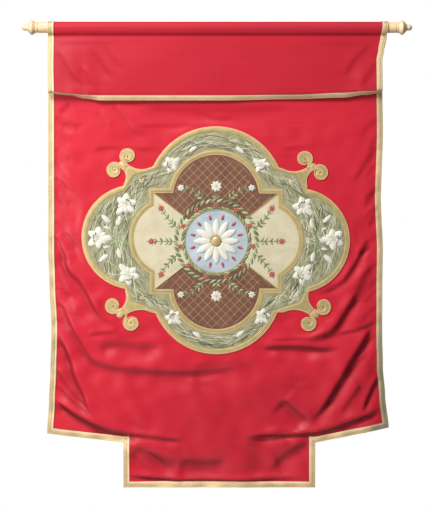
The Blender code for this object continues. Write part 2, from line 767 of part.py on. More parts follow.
def flap_galloons(flap, finish):
    """Three mitred lengths of galloon: both ends of the flap, over the pole, and its lower edge."""
    last, foot = flap.last, flap.foot
    upright("galloon_flap_left", flap, 0, 0, foot, None, finish)
    upright("galloon_flap_right", flap, last - 1, 0, foot, None, finish)
    level("galloon_flap_foot", flap, foot - 1,
          (0, 1, ((0, foot), (1, foot - 1))), (last - 1, 0, ((last, foot), (last - 1, foot - 1))), finish)


# Turned end of the pole: distance from the pole's end, radius
FINIAL_PROFILE = (
    (0.0003, 0.0150),
    (0.0018, 0.0150),
    (0.0036, 0.0178),
    (0.0090, 0.0178),
    (0.0130, 0.0192),
    (0.0185, 0.0236),
    (0.0225, 0.0240),
    (0.0270, 0.0205),
    (0.0330, 0.0135),
    (0.0365, 0.0098),
    (0.0390, 0.0092),
    (0.0430, 0.0100),
    (0.0485, 0.0088),
    (0.0525, 0.0052),
    (0.0545, 0.0000),
)


def turned(name, profile, sides, finish):
    """A piece turned about X, closed at both ends; its profile runs along X with growing x."""
    points = []
    faces = []
    rings = []
    for x, radius in profile:
        count = sides if radius > 0 else 1
        rings.append(range(len(points), len(points) + count))
        for k in range(count):
            angle = 2 * math.pi * k / sides
            points.append((x, radius * math.sin(angle), -radius * math.cos(angle)))
    for near, far in zip(rings, rings[1:]):
        for k in range(sides):
            a, b = near[k % len(near)], near[(k + 1) % len(near)]
            c, d = far[(k + 1) % len(far)], far[k % len(far)]
            faces.append(tuple(dict.fromkeys((a, b, c, d))))
    if len(rings[0]) > 1:
        faces.append(tuple(reversed(rings[0])))
    if len(rings[-1]) > 1:
        faces.append(tuple(rings[-1]))
    mesh = bpy.data.meshes.new(name)
    mesh.from_pydata(points, [], faces)
    mesh.shade_smooth()
    mesh.set_sharp_from_angle(angle=math.radians(35))
    return add_object(name, mesh, finish)


def build_pole(finish):
    turned("pole", ((-POLE_HALF_LENGTH, POLE_RADIUS), (POLE_HALF_LENGTH, POLE_RADIUS)), POLE_SIDES, finish)
    right = [(POLE_HALF_LENGTH + x, radius) for x, radius in FINIAL_PROFILE]
    turned("finial_right", right, FINIAL_SIDES, finish)
    turned("finial_left", [(-x, radius) for x, radius in reversed(right)], FINIAL_SIDES, finish)


def build_medallion(gold, ground, picture):
    border = border_outline()
    ground_edge = ground_outline()
    window = window_outline()
    window_edge = grown(window, INNER_BORDER_WIDTH)
    plate("medallion_border", (border, ground_edge), BORDER_THICKNESS, gold)
    plate("medallion_ground", (grown(ground_edge, -SEAT_GAP), grown(window_edge, SEAT_GAP)),
          GROUND_THICKNESS, ground)
    plate("medallion_inner_border", (window_edge, window), BORDER_THICKNESS, gold)
    plate("medallion_centre", (grown(window, -SEAT_GAP),), GROUND_THICKNESS, picture)
    for name, (centre_x, centre_drop, corner, turn) in SCROLLS.items():
        plate("scroll_" + name, (scroll_outline(centre_x, centre_drop, corner, turn),), SCROLL_THICKNESS, gold)


def build_banner():
    clear_scene()
    crimson = material("crimson_satin", CRIMSON, 0.42)
    gold = material("old_gold_galloon", OLD_GOLD, 0.5, 0.25)
    sage = material("sage_embroidery", SAGE, 0.7)
    cream = material("cream_embroidery", CREAM, 0.75)
    pine = material("turned_pine", PINE, 0.5)
    build_pole(pine)
    flat_outlines = [border_outline()]
    flat_outlines += [scroll_outline(*row) for row in SCROLLS.values()]
    panel = Panel(flat_outlines)
    panel.build(crimson)
    panel_galloons(panel, gold)
    flap = Flap()
    flap.build(crimson)
    flap_galloons(flap, gold)
    build_medallion(gold, sage, cream)


build_banner()
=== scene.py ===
"""A crimson church banner on its turned pine pole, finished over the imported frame.

Metres, +Z up, front to -Y. Heights on the cloth are drops, measured down from the pole's axis. A column is a
place across the cloth and a row a place down it, before its edges wander.
"""

import math

import bpy
import numpy as np
from mathutils import Matrix, Vector, geometry


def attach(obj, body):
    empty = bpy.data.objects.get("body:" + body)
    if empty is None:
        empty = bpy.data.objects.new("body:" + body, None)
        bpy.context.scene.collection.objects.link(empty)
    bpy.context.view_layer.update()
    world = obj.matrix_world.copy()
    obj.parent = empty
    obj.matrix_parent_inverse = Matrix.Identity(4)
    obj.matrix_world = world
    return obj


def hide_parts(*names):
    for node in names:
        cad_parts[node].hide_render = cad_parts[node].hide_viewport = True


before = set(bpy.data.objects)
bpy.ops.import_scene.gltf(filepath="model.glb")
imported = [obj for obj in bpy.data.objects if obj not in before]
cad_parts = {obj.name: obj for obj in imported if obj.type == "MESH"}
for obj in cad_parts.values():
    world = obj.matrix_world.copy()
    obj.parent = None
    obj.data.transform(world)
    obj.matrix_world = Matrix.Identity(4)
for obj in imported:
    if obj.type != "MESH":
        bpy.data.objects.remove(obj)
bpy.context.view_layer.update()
scene = bpy.context.scene


# The studio is a white space with a broad soft lamp high at the banner's upper left and a weak one beside it.
# A pale round floor lies below the picture's lower edge.
class Reading:
    """A socket of a tree of nodes. Sums on it add Math nodes, and node() adds any other kind."""

    def __init__(self, tree, socket):
        self.tree = tree
        self.socket = socket

    def node(self, kind, settings, sockets, output=0):
        made = self.tree.nodes.new(kind)
        for name, value in settings.items():
            if name == "stops":
                ramp = made.color_ramp
                while len(ramp.elements) < len(value):
                    ramp.elements.new(0.5)
                for element, (place, colour) in zip(ramp.elements, value):
                    element.position = place
                    element.color = (*colour, 1.0)
            else:
                setattr(made, name, value)
        for key, value in sockets.items():
            if isinstance(value, Reading):
                self.tree.links.new(value.socket, made.inputs[key])
            elif made.inputs[key].type == "RGBA":
                made.inputs[key].default_value = (*value, 1.0)
            else:
                made.inputs[key].default_value = value
        return Reading(self.tree, made.outputs[output])

    def sum(self, operation, first, second):
        return self.node("ShaderNodeMath", {"operation": operation}, {0: first, 1: second})

    def __add__(self, other):
        return self.sum("ADD", self, other)

    def __sub__(self, other):
        return self.sum("SUBTRACT", self, other)

    def __rsub__(self, other):
        return self.sum("SUBTRACT", other, self)

    def __mul__(self, other):
        return self.sum("MULTIPLY", self, other)

    __radd__ = __add__
    __rmul__ = __mul__

    def absolute(self):
        return self.sum("ABSOLUTE", self, 0.0)

    def root(self):
        return self.sum("SQRT", self, 0.0)

    def parts(self):
        """The X, Y and Z of a vector."""
        return [self.node("ShaderNodeSeparateXYZ", {}, {0: self}, k) for k in range(3)]

    def noise(self, stretch, detail=2.0, rough=0.5):
        """Noise of about one wave for each unit, after its place is stretched along X, Y and Z."""
        place = self.node("ShaderNodeMapping", {}, {"Vector": self, "Scale": stretch})
        sockets = {"Vector": place, "Scale": 1.0, "Detail": detail, "Roughness": rough}
        return place.node("ShaderNodeTexNoise", {}, sockets)

    def between(self, low, high):
        """0 up to low, 1 from high, eased between them."""
        settings = {"interpolation_type": "SMOOTHSTEP"}
        return self.node("ShaderNodeMapRange", settings, {"Value": self, "From Min": low, "From Max": high})

    def ripple(self, waves):
        """An even wave from 0 to 1, with that many waves for each unit."""
        return 0.5 + 0.5 * self.sum("SINE", self * (2 * math.pi * waves), 0.0)

    def colours(self, *stops):
        return self.node("ShaderNodeValToRGB", {"stops": stops}, {0: self})

    def laid_over(self, share, colour):
        """This colour with another one over it, by a share from 0 to 1."""
        return self.node("ShaderNodeMix", {"data_type": "RGBA"}, {0: share, 6: self, 7: colour}, 2)

    def shaded(self, value):
        """This colour times a grey value."""
        grey = self.node("ShaderNodeCombineColor", {}, {0: value, 1: value, 2: value})
        settings = {"data_type": "RGBA", "blend_type": "MULTIPLY"}
        return self.node("ShaderNodeMix", settings, {0: 1.0, 6: self, 7: grey}, 2)


class Finish:
    """A material whose colour, roughness and bump follow readings of the piece's own place or maps."""

    def __init__(self, name, roughness, **constants):
        self.material = bpy.data.materials.new(name)
        self.material.use_nodes = True
        self.tree = self.material.node_tree
        self.shader = self.tree.nodes["Principled BSDF"]
        self.shader.inputs["Roughness"].default_value = roughness
        for title, value in constants.items():
            socket = self.shader.inputs[title.replace("_", " ")]
            socket.default_value = (*value, 1.0) if socket.type == "RGBA" else value
        coordinates = self.tree.nodes.new("ShaderNodeTexCoord")
        self.place = Reading(self.tree, coordinates.outputs["Object"])

    def map(self, name):
        return self.place.node("ShaderNodeUVMap", {"uv_map": name}, {})

    def attribute(self, name):
        return self.place.node("ShaderNodeAttribute", {"attribute_name": name}, {}, 2)

    def feed(self, title, reading):
        self.tree.links.new(reading.socket, self.shader.inputs[title])

    def bump(self, height, distance, strength=1.0):
        sockets = {"Height": height, "Distance": distance, "Strength": strength}
        self.feed("Normal", height.node("ShaderNodeBump", {}, sockets))


def new_piece(name, mesh, finish):
    if finish is not None:
        mesh.materials.append(finish.material)
    piece = bpy.data.objects.new(name, mesh)
    scene.collection.objects.link(piece)
    return piece


def soft_lamp(name, place, aim, size, power):
    data = bpy.data.lights.new(name, "AREA")
    data.size = size
    data.energy = power
    lamp = bpy.data.objects.new(name, data)
    lamp.location = place
    lamp.rotation_euler = (Vector(aim) - Vector(place)).to_track_quat("-Z", "Y").to_euler()
    scene.collection.objects.link(lamp)


VIEW_HEIGHT = 1.6896
VIEW_CENTRE = (-0.0033, -0.7537)
CAMERA_DISTANCE = 6.0
scene.view_settings.view_transform = "Standard"
camera_data = bpy.data.cameras.new("camera")
camera_data.sensor_fit = "VERTICAL"
camera_data.sensor_height = 36.0
camera_data.lens = camera_data.sensor_height * CAMERA_DISTANCE / VIEW_HEIGHT
camera = bpy.data.objects.new("camera", camera_data)
camera.location = (VIEW_CENTRE[0], -CAMERA_DISTANCE, VIEW_CENTRE[1])
camera.rotation_euler = (math.radians(90), 0.0, 0.0)
scene.collection.objects.link(camera)
scene.camera = camera

AMBIENT = 0.16
world = bpy.data.worlds.new("studio_white")
world.use_nodes = True
scene.world = world
white = world.node_tree.nodes["Background"]
white.inputs["Color"].default_value = (1.0, 1.0, 1.0, 1.0)
seen = world.node_tree.nodes.new("ShaderNodeLightPath")
level = Reading(world.node_tree, seen.outputs["Is Camera Ray"]) * (1.0 - AMBIENT) + AMBIENT
world.node_tree.links.new(level.socket, white.inputs["Strength"])
soft_lamp("upper_lamp", (-1.3, -2.4, 2.2), (0.0, 0.0, -0.75), 1.5, 170.0)
soft_lamp("left_lamp", (-2.1, -1.7, -0.6), (-0.2, 0.0, -0.85), 0.9, 31.0)

FLOOR_LEVEL = -1.82
plaster = Finish("studio_floor", 0.8)
speck = plaster.place.noise((3.0, 3.0, 3.0), 4.0)
plaster.feed("Base Color", speck.colours((0.3, (0.78, 0.78, 0.77)), (0.7, (0.84, 0.84, 0.83))))
plaster.bump(plaster.place.noise((60.0, 60.0, 60.0)), 0.001)
floor_points = []
floor_faces = []
FLOOR_SIDES = 96
# Radius and height of the floor's top, its rounded edge and its foot
FLOOR_RIMS = ((1.30, 0.0), (1.345, -0.006), (1.35, -0.02))
for radius, height in FLOOR_RIMS:
    for k in range(FLOOR_SIDES):
        turn = 2 * math.pi * k / FLOOR_SIDES
        floor_points.append((radius * math.cos(turn), radius * math.sin(turn), FLOOR_LEVEL + height))
for ring in range(len(FLOOR_RIMS) - 1):
    for k in range(FLOOR_SIDES):
        a = ring * FLOOR_SIDES + k
        b = ring * FLOOR_SIDES + (k + 1) % FLOOR_SIDES
        floor_faces.append((a, a + FLOOR_SIDES, b + FLOOR_SIDES, b))
floor_faces.append(tuple(range(FLOOR_SIDES)))
floor_faces.append(tuple(reversed(range(2 * FLOOR_SIDES, 3 * FLOOR_SIDES))))
floor_mesh = bpy.data.meshes.new("floor")
floor_mesh.from_pydata(floor_points, [], floor_faces)
new_piece("floor", floor_mesh, plaster)


# The pole is a plain pine rod, 35 mm thick, sanded and waxed. A bead, an egg and a small knob are turned on
# each end, and the rod passes through the pocket at the banner's head.
pine = Finish("turned_pine", 0.42, Coat_Weight=0.15, Coat_Roughness=0.3)
painted_light_x, grain_y, grain_z = pine.place.parts()
wander = pine.place.noise((2.2, 18.0, 18.0), 3.0)
off_y = grain_y + 0.030 + wander * 0.012
off_z = grain_z - 0.012 + wander * 0.010
heart = (off_y * off_y + off_z * off_z).root()
rings = (heart + wander * 0.004).ripple(310.0)
fibre = pine.place.noise((9.0, 900.0, 900.0), 3.0)
wood = (rings * 0.75 + fibre * 0.35).colours(
    (0.15, (0.92, 0.70, 0.43)), (0.62, (0.84, 0.61, 0.35)), (1.0, (0.64, 0.41, 0.20)))
blotch = pine.place.noise((14.0, 40.0, 40.0), 2.0)
# Painted light: the wood gets lighter towards the right.
pine.feed("Base Color", wood.shaded(0.93 + blotch * 0.24 + painted_light_x * 0.10))
pine.bump(fibre * 0.6 + rings * 0.4, 0.0003, 0.6)


def turned(name, profile, sides):
    """A piece turned about X and closed at both ends; its profile runs along X with growing x."""
    points = []
    faces = []
    starts = []
    for x, radius in profile:
        starts.append((len(points), sides if radius > 0 else 1))
        for k in range(starts[-1][1]):
            angle = 2 * math.pi * k / sides
            points.append((x, radius * math.sin(angle), -radius * math.cos(angle)))
    for (near, near_count), (far, far_count) in zip(starts, starts[1:]):
        for k in range(sides):
            a, b = near + k % near_count, near + (k + 1) % near_count
            c, d = far + (k + 1) % far_count, far + k % far_count
            faces.append(tuple(dict.fromkeys((a, b, c, d))))
    if starts[0][1] > 1:
        faces.append(tuple(reversed(range(sides))))
    if starts[-1][1] > 1:
        faces.append(tuple(range(starts[-1][0], starts[-1][0] + sides)))
    mesh = bpy.data.meshes.new(name)
    mesh.from_pydata(points, [], faces)
    mesh.shade_smooth()
    mesh.set_sharp_from_angle(angle=math.radians(40))
    return new_piece(name, mesh, pine)


def fixed(piece, slot, *nodes):
    """Hangs a piece on the frame in place of these solids. The slot is not used."""
    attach(piece, "root")
    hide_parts(*nodes)


POLE_RADIUS = 0.0175
POLE_HALF_LENGTH = 0.590
TURNED_SIDES = 72
# Turned end: distance from the pole's end and radius, with cut lines between the bead, the egg and the knob
FINIAL_PROFILE = (
    (0.0003, 0.0150), (0.0018, 0.0150), (0.0022, 0.0166), (0.0030, 0.0176), (0.0045, 0.0179),
    (0.0068, 0.0178), (0.0080, 0.0172), (0.0086, 0.0164), (0.0092, 0.0172), (0.0108, 0.0183),
    (0.0130, 0.0196), (0.0158, 0.0220), (0.0185, 0.0236), (0.0205, 0.0241), (0.0225, 0.0240),
    (0.0248, 0.0226), (0.0270, 0.0205), (0.0300, 0.0170), (0.0330, 0.0135), (0.0350, 0.0112),
    (0.0365, 0.0098), (0.0378, 0.0092), (0.0390, 0.0092), (0.0410, 0.0098), (0.0430, 0.0101),
    (0.0460, 0.0098), (0.0485, 0.0089), (0.0508, 0.0072), (0.0525, 0.0052), (0.0538, 0.0028),
    (0.0545, 0.0))
rod = [(-POLE_HALF_LENGTH, POLE_RADIUS - 0.0008), (-POLE_HALF_LENGTH + 0.0008, POLE_RADIUS)]
rod += [(x, POLE_RADIUS) for x in np.linspace(-POLE_HALF_LENGTH + 0.02, POLE_HALF_LENGTH - 0.02, 24)]
rod += [(POLE_HALF_LENGTH - 0.0008, POLE_RADIUS), (POLE_HALF_LENGTH, POLE_RADIUS - 0.0008)]
fixed(turned("pole_rod", rod, TURNED_SIDES), "pine", "pole")
finial = [(POLE_HALF_LENGTH + x, radius) for x, radius in FINIAL_PROFILE]
fixed(turned("turned_end_right", finial, TURNED_SIDES), "pine", "finial_right")
finial = [(-x, radius) for x, radius in reversed(finial)]
fixed(turned("turned_end_left", finial, TURNED_SIDES), "pine", "finial_left")


# The banner is one sheet of crimson silk satin with a stepped lower edge, turned in on the back and sewn. It
# lies flat under the stiff medallion and pulls into slanting folds beside it. Shade is painted into its
# colour: darker in its creases, on the pocket at its head, on the flap that hangs below it and low on its
# middle and right, with painted light in the dip under the pocket.
satin = Finish("crimson_satin_cloth", 0.44, Specular_IOR_Level=0.32, Sheen_Weight=0.10, Sheen_Roughness=0.35,
               Sheen_Tint=(1.0, 0.45, 0.5))
cloth = satin.map("cloth")
slub = cloth.noise((6.0, 420.0, 1.0), 3.0, 0.6)
long_slub = cloth.noise((2.2, 150.0, 1.0), 2.0)
weft = cloth.noise((60.0, 1500.0, 1.0), 2.0)
bloom = cloth.noise((5.0, 4.0, 1.0), 3.0)
red = (slub * 0.5 + long_slub * 0.5).colours(
    (0.2, (0.575, 0.0135, 0.029)), (0.5, (0.618, 0.0160, 0.035)), (0.8, (0.660, 0.0195, 0.041)))
# The flap's hanging part gets painted shade and a little less roughness.
crosswise = satin.attribute("crosswise")
# The pocket's round gets painted shade and more roughness; the dip at its stitches gets painted light.
pocket = satin.attribute("pocket")
satin_x, _, satin_z = satin.place.parts()
# Painted shade: the sheet is darker low down, from a little left of the middle to its right edge.
painted_shade_low = satin_x.between(-0.36, -0.12) * (0.0 - satin_z).between(1.04, 1.24)
shade = 0.88 + bloom * 0.18 + weft * 0.06 - crosswise * 0.20 - pocket * 0.19 - painted_shade_low * 0.105
# Painted shade: the colour is darker in the creases of the folds.
satin.feed("Base Color", red.shaded(shade * (1.0 - satin.attribute("crease") * 0.48)))
satin.feed("Roughness", 0.38 + slub * 0.12 - crosswise * 0.11 + pocket * 0.28)
satin.bump(slub * 0.5 + long_slub * 0.6 + weft * 0.2, 0.0006, 0.35)

PANEL_THICKNESS = 0.0020
SEAT_GAP = 0.0003
FRONT_PLANE = -PANEL_THICKNESS / 2
PANEL_TOP_DROP = 0.026
PANEL_HALF_WIDTH = 0.557
HEM_DROP = 1.370
TAB_LEFT = -0.309
TAB_RIGHT = 0.316
TAB_DROP = 1.519
HEM_LIFT_LEFT = 0.030
HEM_LIFT_RIGHT = 0.048
LIFT_FROM = 0.95
LIFT_RUN = 0.35
# Drop, left edge, right edge
PANEL_EDGES = (
    (0.026, -0.5577, 0.5600), (0.110, -0.5577, 0.5445), (0.340, -0.5577, 0.5475), (0.570, -0.5577, 0.5412),
    (0.735, -0.5577, 0.5475), (0.850, -0.5544, 0.5462), (1.000, -0.5478, 0.5462), (1.145, -0.5511, 0.5495),
    (1.260, -0.5555, 0.5577), (1.370, -0.5610, 0.5690))


def fold_rows(rows):
    """Rows of folds: depth of the trough below a fold's falling side, that side's half width, height of the
    ridge above it, side of that ridge (1 is left of the route's direction, seen from the front), and the
    route as x and drop, which the rows give in millimetres."""
    return [(*shape, np.array(route) / 1000) for *shape, route in rows]


PANEL_FOLDS = fold_rows((
    (0.0082, 0.0125, 0.0038, 1, ((-528, 879), (-495, 958), (-455, 1031), (-416, 1090), (-370, 1117),
        (-290, 1129), (-221, 1135), (-122, 1139), (-59, 1137), (10, 1132), (69, 1121), (148, 1106))),
    (0.0050, 0.0240, 0.0015, 1, ((-85, 1122), (-16, 1120), (59, 1116), (140, 1105))),
    (0.0072, 0.0110, 0.0040, 1, ((-518, 734), (-488, 806), (-455, 840), (-426, 886), (-403, 932), (-370, 965),
        (-330, 978))),
    (0.0085, 0.0165, 0.0022, 1, ((-396, 1052), (-360, 1046), (-327, 1044), (-274, 1047), (-231, 1050),
        (-178, 1043))),
    (0.0110, 0.0105, 0.0048, 1, ((-530, 1012), (-490, 1088), (-472, 1153), (-442, 1216), (-420, 1268),
        (-405, 1300))),
    (0.0052, 0.0065, 0.0026, 1, ((-532, 1122), (-492, 1184), (-442, 1242), (-418, 1272))),
    (0.0155, 0.0110, 0.0060, 1, ((-540, 1228), (-500, 1258), (-450, 1290), (-400, 1314), (-345, 1333),
        (-285, 1343), (-230, 1349))),
    (0.0055, 0.0060, 0.0030, 1, ((-315, 1341), (-251, 1346), (-162, 1357), (-90, 1364))),
    (0.0125, 0.0200, 0.0050, 1, ((-287, 1386), (-247, 1394), (-198, 1414), (-155, 1432), (-115, 1452))),
    (0.0110, 0.0190, 0.0050, 1, ((-125, 1427), (-63, 1435), (-23, 1436), (40, 1424))),
    (0.0130, 0.0100, 0.0064, -1, ((515, 985), (496, 1018), (469, 1063), (441, 1107), (412, 1158), (387, 1199),
        (361, 1240), (333, 1275), (300, 1312))),
    (0.0045, 0.0150, 0.0034, -1, ((518, 785), (498, 805), (478, 838), (457, 889), (430, 935))),
    (0.0098, 0.0095, 0.0052, -1, ((465, 873), (445, 905), (422, 942), (398, 981), (373, 1006), (340, 1018),
        (294, 1021))),
    (0.0100, 0.0090, 0.0044, 1, ((145, 1056), (224, 1053), (290, 1055), (346, 1060), (415, 1060))),
    (0.0094, 0.0072, 0.0060, -1, ((540, 1262), (500, 1280), (442, 1301), (389, 1320), (340, 1334),
        (290, 1344))),
    (0.0080, 0.0065, 0.0050, -1, ((350, 1334), (257, 1344), (185, 1347), (85, 1351))),
    (0.0062, 0.0052, 0.0040, -1, ((535, 1150), (512, 1195), (494, 1235), (480, 1275))),
    (0.0040, 0.0100, 0.0026, -1, ((478, 1176), (444, 1222), (403, 1280))),
    (0.0080, 0.0135, 0.0050, -1, ((305, 1362), (262, 1386), (218, 1417), (185, 1450), (170, 1475))),
    (0.0052, 0.0066, 0.0036, -1, ((517, 720), (481, 736), (460, 774), (425, 826), (412, 838), (371, 864),
        (323, 878))),
    (0.0150, 0.0170, 0.0050, 1, ((215, 1224), (241, 1247), (271, 1272), (314, 1308))),
    (0.0100, 0.0400, 0.0030, -1, ((110, 1345), (118, 1390), (112, 1440), (100, 1490))),
    (0.0050, 0.0260, 0.0020, -1, ((235, 1360), (215, 1385), (175, 1400))),
))
# Small creases
PANEL_CREASES = fold_rows((
    (0.0040, 0.0210, 0.0020, 1, ((-260, 262), (-60, 268), (120, 266), (280, 260))),
    (0.0013, 0.0050, 0.0013, 1, ((-420, 407), (-361, 397), (-270, 400), (-172, 402))),
    (0.0012, 0.0050, 0.0012, 1, ((224, 397), (330, 397))),
    (0.0018, 0.0060, 0.0017, 1, ((-341, 252), (-297, 300), (-275, 338), (-235, 365))),
    (0.0013, 0.0060, 0.0013, 1, ((-390, 275), (-350, 334))),
    (0.0015, 0.0075, 0.0009, -1, ((-485, 247), (-526, 285))),
    (0.0017, 0.0090, 0.0009, 1, ((-512, 312), (-470, 322), (-440, 320))),
    (0.0014, 0.0080, 0.0009, 1, ((-530, 420), (-495, 445))),
    (0.0021, 0.0070, 0.0017, 1, ((-528, 486), (-478, 552))),
    (0.0018, 0.0070, 0.0016, 1, ((-526, 545), (-495, 590))),
    (0.0031, 0.0075, 0.0027, 1, ((-502, 668), (-448, 737))),
    (0.0029, 0.0075, 0.0025, 1, ((-535, 680), (-485, 784))),
    (0.0009, 0.0060, 0.0009, 1, ((-270, 325), (-100, 322), (0, 325))),
    (0.0042, 0.0060, 0.0024, 1, ((-532, 1176), (-488, 1222), (-442, 1261), (-415, 1282))),
    (0.0056, 0.0052, 0.0046, 1, ((-320, 1476), (-257, 1484), (-155, 1493), (-56, 1496), (76, 1496),
        (158, 1492), (257, 1489), (320, 1486))),
    (0.0010, 0.0060, 0.0008, 1, ((-462, 1130), (-403, 1196), (-337, 1275), (-271, 1328))),
    (0.0021, 0.0080, 0.0016, 1, ((-280, 1290), (-250, 1318), (-235, 1326))),
    (0.0021, 0.0055, 0.0020, 1, ((-425, 1014), (-380, 1008), (-323, 1003))),
    (0.0024, 0.0040, 0.0020, -1, ((526, 966), (492, 985), (465, 996), (426, 1006), (385, 1017))),
    (0.0016, 0.0055, 0.0014, 1, ((175, 1031), (290, 1027), (373, 1034))),
    (0.0018, 0.0080, 0.0016, 1, ((252, 1150), (290, 1168))),
    (0.0023, 0.0075, 0.0021, -1, ((500, 700), (464, 756))),
    (0.0018, 0.0090, 0.0016, -1, ((526, 380), (475, 470), (440, 520))),
    (0.0018, 0.0090, 0.0016, -1, ((526, 520), (480, 600))),
    (0.0018, 0.0080, 0.0016, -1, ((528, 590), (500, 660))),
    (0.0017, 0.0090, 0.0014, -1, ((500, 1075), (440, 1130), (420, 1170))),
    (0.0023, 0.0060, 0.0021, 1, ((-290, 1400), (-240, 1440), (-215, 1470))),
    (0.0023, 0.0060, 0.0021, 1, ((-225, 1400), (-180, 1432), (-155, 1462))),
    (0.0016, 0.0080, 0.0013, 1, ((-60, 275), (-10, 300), (60, 300))),
    (0.0009, 0.0055, 0.0008, 1, ((225, 1175), (262, 1187), (300, 1190))),
    (0.0012, 0.0090, 0.0010, 1, ((130, 1262), (170, 1292), (205, 1300))),
    (0.0014, 0.0120, 0.0010, 1, ((-140, 1170), (-60, 1176), (10, 1172))),
    (0.0022, 0.0065, 0.0014, 1, ((-535, 770), (-500, 850), (-470, 930), (-440, 975))),
    (0.0020, 0.0060, 0.0014, 1, ((-500, 985), (-455, 1060), (-415, 1105), (-380, 1125))),
))
# Puckers where the side galloons are sewn on
PUCKER_COLUMN = 0.533
PUCKER_PITCH = 0.047
PUCKER_WIDTH = 0.0068
pucker = np.random.default_rng(4)
for side in (-1, 1):
    for drop in np.arange(0.30, 1.10, PUCKER_PITCH):
        reach, fall, height = pucker.uniform((0.035, 0.030, 0.0009), (0.070, 0.075, 0.0019))
        place = drop + pucker.uniform(-0.012, 0.012)
        start = (side * PUCKER_COLUMN, place)
        middle = (side * (PUCKER_COLUMN - reach * 0.55), place + fall * 0.45)
        stop = (side * (PUCKER_COLUMN - reach), place + fall)
        PANEL_CREASES.append((height, PUCKER_WIDTH, height * 0.3, -side, (start, middle, stop)))
FOLD_END_SHARE = 0.14
HALF_FALL = 0.85
SLOW_SIDE = 3.0
# Painted shade in creases: its gain by a fold's steepness, its most, and its offset from the route
CREASE_GAIN = 0.65
CREASE_MOST = 1.3
CREASE_OFF = -0.25
CURL_START = 0.37
# Drop, and how far back the left and the right edge curl
SIDE_CURL = ((0.06, 0.000, 0.000), (0.25, 0.007, 0.004), (0.70, 0.016, 0.005), (0.88, 0.020, 0.008),
             (1.00, 0.021, 0.018), (1.14, 0.018, 0.030), (1.26, 0.014, 0.028), (1.37, 0.008, 0.015))
# Height, waves across and down for each metre, and the phase, of the sheet's slack
SLACK_WAVES = [
    (0.0012, 2.6, 3.4, 0.3), (0.0012, -4.1, 2.2, 1.9), (0.0011, 1.2, 6.3, 4.0), (0.0010, 5.6, -3.1, 2.6)]
for heading, waves, phase in pucker.uniform((0.0, 7.5, 0.0), (math.pi, 17.0, 2 * math.pi), (14, 3)):
    SLACK_WAVES.append((0.0056 / waves, waves * math.cos(heading), waves * math.sin(heading), phase))
# Where the slack begins and is full, as a drop and the run it takes
SLACK_FADES = ((0.22, 0.14), (0.4, 0.6))
FOOT_SWING = 0.014
SWING_FROM = 1.28
SWING_RUN = 0.26
STIFF_FADE = 0.030
FOLD_REACH = 8


def eased(value):
    value = np.clip(value, 0.0, 1.0)
    return value * value * (3 - 2 * value)


def along(table, at, column):
    """Values of a column at places of a table whose first column rises, eased between its rows."""
    table = np.asarray(table)
    low = np.clip(np.searchsorted(table[:, 0], at, side="right") - 1, 0, len(table) - 2)
    share = (at - table[low, 0]) / (table[low + 1, 0] - table[low, 0])
    return table[low, column] + (table[low + 1, column] - table[low, column]) * eased(share)


def rounded_route(route, pieces=7):
    """A smooth line of short steps through the points of a route."""
    points = np.asarray(route, float)
    padded = np.vstack((2 * points[0] - points[1], points, 2 * points[-1] - points[-2]))
    run = []
    for a, b, c, d in zip(padded, padded[1:], padded[2:], padded[3:]):
        for t in np.arange(pieces) / pieces:
            cubic = 3 * b - a - 3 * c + d
            run.append(0.5 * (2 * b + (c - a) * t + (2 * a - 5 * b + 4 * c - d) * t * t + cubic * t ** 3))
    return np.vstack((run, points[-1]))


def route_place(route, x, drop):
    """Distance from a route, signed to its left, and the share of its length at the nearest place."""
    route = np.asarray(route, float)
    steps = np.diff(route, axis=0)
    lengths = np.hypot(steps[:, 0], steps[:, 1])
    runs = np.concatenate(((0.0,), np.cumsum(lengths)))
    gap = np.full(np.shape(x), 1e9)
    share = np.zeros(np.shape(x))
    for (ax, az), step, length, run in zip(route, steps, lengths, runs):
        dx, dz = step / length
        t = np.clip((x - ax) * dx + (drop - az) * dz, 0.0, length)
        off = np.hypot(x - ax - t * dx, drop - az - t * dz)
        nearer = off < np.abs(gap)
        gap = np.where(nearer, np.copysign(off, (x - ax) * dz - (drop - az) * dx), gap)
        share = np.where(nearer, (run + t) / runs[-1], share)
    return gap, share


def folds_at(folds, x, drop):
    """How far folds bring the cloth forwards, and how much painted shade their creases get, from 0."""
    depth = np.zeros(np.shape(x))
    crease = np.zeros(np.shape(x))
    for trough, width, ridge, side, route in folds:
        line = rounded_route(route)
        reach = FOLD_REACH * width
        near = (x > line[:, 0].min() - reach) & (x < line[:, 0].max() + reach)
        near &= (drop > line[:, 1].min() - reach) & (drop < line[:, 1].max() + reach)
        gap, share = route_place(line, x[near], drop[near])
        ends = eased(share / FOLD_END_SHARE) * eased((1 - share) / (2 * FOLD_END_SHARE))
        s = gap * side / (width * (0.7 + 0.3 * np.sin(np.pi * share)))
        up = np.where(s > HALF_FALL, (s - HALF_FALL) / SLOW_SIDE, s - HALF_FALL)
        down = np.where(s < -HALF_FALL, (s + HALF_FALL) / SLOW_SIDE, s + HALF_FALL)
        depth[near] += (ridge * np.exp(-up * up) - trough * np.exp(-down * down)) * ends
        deep = min(CREASE_MOST, CREASE_GAIN * (trough + ridge) / width)
        off = s - CREASE_OFF
        crease[near] = np.maximum(crease[near], deep * np.exp(-np.where(off > 0, 1.2, 0.5) * off ** 2) * ends)
    return depth, crease


# The medallion is a quatrefoil of four lobes, whose corners end in blunt barbs. A pair of curled scrolls
# grows from each barb. It is stiff, so the sheet lies flat behind it.
# Right, lower, left and upper lobe: centre x, centre drop, radius
LOBES = ((0.266, 0.703, 0.173), (-0.002, 0.861, 0.217), (-0.274, 0.692, 0.173), (-0.004, 0.554, 0.228))
